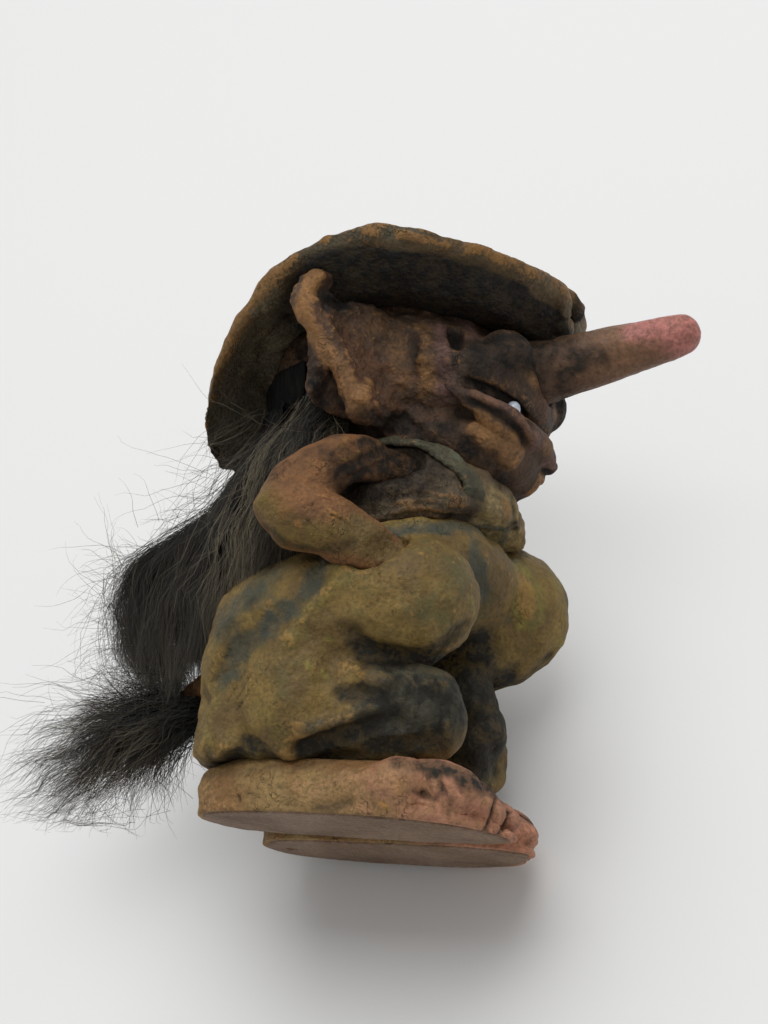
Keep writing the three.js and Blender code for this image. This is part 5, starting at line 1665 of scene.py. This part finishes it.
    def wisps(self, chance: np.random.Generator, places: Grid, dips: Span) -> Grid:
        """Draws loose hairs that stand away from a lock.

        Args:
            chance: the seeded dice.
            places: where they start.
            dips: steepest fall and steepest rise, in degrees.

        Returns:
            Hairs by points by three, in figure millimetres.
        """
        count = len(places)
        share = np.linspace(0.0, 1.0, self.points)[None, :]
        dip = np.radians(chance.uniform(*dips, count))[:, None]
        dip = dip - chance.uniform(-0.5, 0.9, count)[:, None] * share
        away = chance.uniform(*self.wisp_reach, count)[:, None] * share
        aside = chance.normal(0.0, 0.25, count)[:, None]
        lines = np.stack((away * aside, away * np.cos(dip), away * np.sin(dip)), axis=2)
        return self.kept(places[:, None] + lines)

    def kept(self, lines: Grid) -> Grid:
        """Keeps hairs above the ground and off the rear limit, easing them in."""
        lines[..., 2] = np.maximum(lines[..., 2], self.ground + lines[..., 2] * 0.08)
        over = np.maximum(lines[..., 1] - self.rear_limit, 0.0)
        lines[..., 1] -= over - over / (1.0 + over / 4.0)
        return lines

    def tousle(self, lines: Grid, chance: np.random.Generator, tufts: int) -> Grid:
        """Draws hairs together into wavy wisps and lets a few stand off.

        Args:
            lines: the hairs.
            chance: the seeded dice.
            tufts: how many wisps.

        Returns:
            The tousled hairs.
        """
        count, points = lines.shape[:2]
        share = np.linspace(0.0, 1.0, points)[None, :, None]
        leaders = lines[chance.choice(count, tufts, replace=False)]
        bend = chance.normal(0.0, 1.0, (tufts, 1, 3))
        leaders = leaders + bend * np.sin(share * chance.uniform(4.0, 7.0, (tufts, 1, 1))) * self.leader_bend
        apart = np.linalg.norm(lines[:, None, points // 3] - leaders[None, :, points // 3], axis=2)
        led = leaders[np.argmin(apart, axis=1)]
        pull = chance.uniform(0.2, 0.85, (count, 1, 1)) * share ** 1.1
        lines = lines * (1.0 - pull) + led * pull
        stray = (chance.uniform(0.0, 1.0, count) < self.stray_share)[:, None, None]
        lines = lines + stray * chance.normal(0.0, 1.0, (count, 1, 3)) * self.stray_reach * share ** 1.5
        wave = np.sin(share * chance.uniform(3.0, 9.0, (count, 1, 1)) + chance.uniform(0.0, 6.0, (count, 1, 1)))
        lines = lines + chance.normal(0.0, 0.8, (count, 1, 3)) * wave * ease(share, 0.0, 0.5)
        lines = lines + chance.normal(0.0, 1.5, (count, 1, 3)) * share
        return self.kept(lines)

    def parted(self, lines: Grid) -> Grid:
        """Leaves out the hairs that would hang before the bare root of the tail."""
        aside = self.root_side - lines[..., 0]
        behind = lines[..., 1] + aside * self.root_slant[0]
        height = lines[..., 2] + aside * self.root_slant[1]
        off = np.maximum(np.abs(behind - self.root_spot[0]), np.abs(height - self.root_spot[1]))
        hidden = (off < self.root_gap) & (lines[..., 0] < self.root_inner)
        return lines[~np.any(hidden, axis=1)]

    @staticmethod
    def shades(chance: np.random.Generator, lines: Grid, painted_light: float) -> Grid:
        """Each hair's own tone: wisps of one tone, mostly dark, the light wisps partly painted highlight, and a
        few hairs painted lighter as glints.

        Args:
            chance: the seeded dice.
            lines: the hairs.
            painted_light: how light the hairs are painted as a whole, lighter for a lit lock and darker for one
                in shade.

        Returns:
            One tone for each hair.
        """
        count, half = len(lines), lines.shape[1] // 2
        leaders = chance.choice(count, count // 16, replace=False)
        wisp = tree_of(lines[leaders, half])
        tones = np.where(chance.uniform(0.0, 1.0, len(leaders)) < 0.3, chance.uniform(0.6, 1.1, len(leaders)),
                         chance.uniform(0.0, 0.35, len(leaders)))
        led = np.array([tones[wisp.find(spot)[1]] for spot in lines[:, half]])
        # A few hairs are painted lighter as glints: painted highlight.
        painted_glint = chance.uniform(0.0, 1.0, count) < 0.06
        return (led * 0.75 + chance.beta(1.2, 2.4, count) * 0.3) * painted_light + 0.6 * painted_glint * painted_light

    def back(self, finish: bpy.types.Material) -> None:
        """Makes the hide strip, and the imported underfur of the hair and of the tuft."""
        dress(Clay.cast("hair_strip", 0.6), finish)
        hair = self.core("hair", self.core_depth)
        aside = ease(np.abs(hair.points[:, 0]), *self.core_zone)
        edges = [np.interp(hair.points[:, 2], self.HEIGHTS, edge) for edge in (self.INSIDES, self.OUTSIDES)]
        lobe = sum(edges) / 2.0
        hair.points[:, 1] = np.minimum(hair.points[:, 1], lobe * (1.0 - aside) + self.strip_depth * aside - 1.5)
        hair.points[:, 2] += np.maximum(self.core_end - hair.points[:, 2], 0.0) * 0.7
        dress(hair, finish)
        tuft = self.core("tail_tuft", 0.0)
        tuft.points = tuft.points * self.tuft_core + np.array(self.tuft_middle) * (1.0 - self.tuft_core)
        dress(tuft, finish)

    def loose(self, chance: np.random.Generator) -> Grid:
        """Draws the loose hairs at the neck, behind the hair and along the tuft.

        Args:
            chance: the seeded dice.

        Returns:
            Hairs by points by three, in figure millimetres.
        """
        count = self.neck_wisps
        neck = np.stack((chance.uniform(21.0, 26.0, count) * chance.choice((-1.0, 1.0), count),
                         chance.uniform(4.0, 31.0, count), chance.uniform(62.0, 84.0, count)), axis=1)
        count = self.rear_wisps
        height = chance.uniform(33.0, 68.0, count)
        outside = np.interp(height, self.HEIGHTS, self.OUTSIDES) - 5.0
        rear = np.stack((chance.normal(0.0, 8.0, count), outside, height), axis=1)
        count = self.tuft_wisps
        reach = chance.uniform(0.3, 0.85, count)
        dip = np.radians(chance.normal(-36.0, 18.0, count))
        trail = np.stack((chance.normal(0.0, 4.0, count), 34.0 + self.tuft_reach * reach * np.cos(dip),
                          30.0 + self.tuft_reach * reach * np.sin(dip)), axis=1)
        starts = ((neck, (-100.0, 30.0)), (rear, (-70.0, 75.0)), (trail, (-75.0, 45.0)))
        return np.concatenate([self.wisps(chance, places, dips) for places, dips in starts])

    def build(self) -> None:
        """Makes the backing, the underfur, the locks and the tuft."""
        chance = np.random.default_rng(SEED)
        self.back(Mat("underfur").material())
        pelt = Pelt("long_fur").material()
        tree = FurTree()
        values = {"Thickness": self.thickness * MM, "Frizz": self.frizz, "Curl Size": self.curl_size,
                  "Seed": self.curl_seed, "Sides": self.sides}
        for lock in self.LOCKS:
            lines = self.parted(self.fall(lock, chance))
            tree.grow(lock.name, lines, values, pelt, self.shades(chance, lines, lock.painted_light))
        lines = self.parted(self.fan(chance))
        shades = self.shades(chance, lines, self.tuft_painted_light)
        tree.grow("tail_fur", lines, {**values, "Frizz": self.tuft_frizz}, pelt, shades)
        lines = self.loose(chance)
        shades = chance.uniform(*self.wisp_shades, len(lines))
        tree.grow("loose_fur", lines, {**values, "Thickness": self.wisp_thickness * MM}, pelt, shades)


@dataclass
class Tail:
    """The bare stub of the tail."""

    voxel: float = 0.45
    clay: Clay = field(init=False)

    STUB_GRAIN = ((4.0, 0.25, 80),)

    def shape(self, _: Modeller) -> None:
        """Casts the stub, which has no marks."""
        self.clay = Clay.cast("tail", self.voxel)
        self.clay.roughen(self.STUB_GRAIN)

    def dress(self, shelter: Shelter) -> None:
        """Paints it like the skin."""
        age(self.clay, shelter.measure(self.clay), wash=0.6)
        dress(self.clay, bpy.data.materials["painted_skin"])


@dataclass
class Studio:
    """A pale floor, a pale sheet that the figure leans on and that takes its shadow, and soft light."""

    paper: Colour = (0.87, 0.87, 0.865)
    sheet_place: Place = (0.0426, 0.0, 0.057)
    sheet_lean: float = 0.3
    half: float = 0.9
    floor_drop: float = 0.0004
    fade: Span = (0.32, 0.75)
    # The paper's glow to the camera is painted light that lifts its shadows. It is held back near the feet
    # (shade_spot, shade_reach) so their shadow stays dark.
    glow: float = 0.62
    shade_spot: Place = (0.027, -0.02, -0.005)
    shade_reach: Span = (0.02, 0.085)
    key_power: float = 3.9
    key_size: float = 0.7
    key_distance: float = 0.75
    key_way: Place = (-0.2, 0.86, -0.46)
    ambient: float = 0.46

    def paper_material(self) -> bpy.types.Material:
        """White paper that shows from its front only, fades out with distance, and glows a little to the eye:
        painted light that pales its shadows, except near the feet.
        """
        made = bpy.data.materials.new("pale_paper")
        bench = Bench.of(made)
        place = bench.place()
        away = bench.vector("DISTANCE", place, (0.0, 0.0, 0.0), "Value")
        near = bench.vector("DISTANCE", place, self.shade_spot, "Value")
        back = bench.node("ShaderNodeNewGeometry", {}, {}, "Backfacing")
        diffuse = bench.node("ShaderNodeBsdfDiffuse", {}, {"Color": self.paper})
        painted_light_paper = bench.node("ShaderNodeEmission", {}, {"Color": self.paper, "Strength": 1.0})
        clear = bench.node("ShaderNodeBsdfTransparent", {}, {})
        # Painted light: the glow reaches the camera only, and grows away from the feet.
        painted_light_share = bench.ray("Is Camera Ray") * near.eased(*self.shade_reach) * self.glow
        front = bench.node("ShaderNodeMixShader", {}, {0: painted_light_share, 1: diffuse, 2: painted_light_paper})
        share = 1.0 - (1.0 - back) * (1.0 - away.eased(*self.fade))
        shader = bench.node("ShaderNodeMixShader", {}, {0: share, 1: front, 2: clear})
        bench.node("ShaderNodeOutputMaterial", {}, {"Surface": shader})
        return made

    def plane(self, name: str, middle: Grid, across: Grid, upward: Grid) -> bpy.types.Object:
        """A large flat sheet.

        Args:
            name: the sheet's name.
            middle: its middle in the frame.
            across: one direction in it.
            upward: the other; across x upward is its front.

        Returns:
            The sheet.
        """
        corners = [middle + across * a * self.half + upward * b * self.half
                   for a, b in ((-1, -1), (1, -1), (1, 1), (-1, 1))]
        mesh = bpy.data.meshes.new(name)
        mesh.from_pydata([tuple(c) for c in corners], [], [(0, 1, 2, 3)])
        mesh.materials.append(bpy.data.materials.get("pale_paper") or self.paper_material())
        sheet = bpy.data.objects.new(name, mesh)
        bpy.context.scene.collection.objects.link(sheet)
        return sheet

    def lamp(self, name: str, place: Grid, aim: Grid, power: float, size: float) -> None:
        """A soft square lamp.

        Args:
            name: the lamp's name.
            place: where it hangs, in the frame.
            aim: where it points.
            power: its power.
            size: its side.
        """
        data = bpy.data.lights.new(name, "AREA")
        data.energy = power
        data.size = size
        lamp = bpy.data.objects.new(name, data)
        lamp.location = Vector(place)
        lamp.rotation_euler = Vector(aim - place).to_track_quat("-Z", "Y").to_euler()
        bpy.context.scene.collection.objects.link(lamp)

    def build(self, sight: Sight) -> None:
        """Sets up the sheets, the lamps and the pale surroundings."""
        scene = bpy.context.scene
        scene.view_settings.view_transform = "Standard"
        x, y, z = np.eye(3)
        lean = (z + self.sheet_lean * x) / math.hypot(1.0, self.sheet_lean)
        self.plane("backdrop", np.array(self.sheet_place), -y, lean)
        floor = self.plane("floor", np.array((0.0, 0.0, -self.floor_drop)), x, y)
        for part in ("visible_diffuse", "visible_glossy", "visible_shadow", "visible_transmission"):
            setattr(floor, part, False)
        right, rise, forward = sight.axes()
        middle = to_frame(np.array(sight.target))
        aside, up, ahead = self.key_way
        place = middle + self.key_distance * (up * rise + aside * right + ahead * forward)
        self.lamp("key", place, middle, self.key_power, self.key_size)
        scene.world = bpy.data.worlds.new("pale_room")
        bench = Bench.of(scene.world)
        rays = {0: bench.ray("Is Camera Ray"), 1: bench.ray("Is Glossy Ray")}
        seen = bench.node("ShaderNodeMath", {"operation": "MAXIMUM"}, rays)
        level = bench.node("ShaderNodeMapRange", {}, {"Value": seen, "To Min": self.ambient, "To Max": 1.0})
        glow = bench.node("ShaderNodeBackground", {}, {"Color": self.paper, "Strength": level})
        bench.node("ShaderNodeOutputWorld", {}, {"Surface": glow})


def main() -> None:
    """Builds the camera, the studio and the figure's sub-assemblies in order."""
    logging.basicConfig(level=logging.INFO, format="%(message)s")
    sight = Sight()
    sight.build()
    Studio().build(sight)
    modeller = Modeller(sight)
    upper, trousers = Upper(), Trousers()
    assemblies = (Hat(), Head(), upper, trousers, Feet(), Tail())
    for assembly in assemblies:
        assembly.shape(modeller)
    pockets = (trousers.clay, upper.clays["right_arm"], upper.clays["left_arm"])
    fill_seams(pockets, reach=6.5, rounds=60, share=1.0)
    solids = [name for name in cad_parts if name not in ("hair", "tail_tuft")]
    shelter = Shelter(solids)
    for assembly in assemblies:
        assembly.dress(shelter)
    Fur().build()


if __name__ == "__main__":
    main()
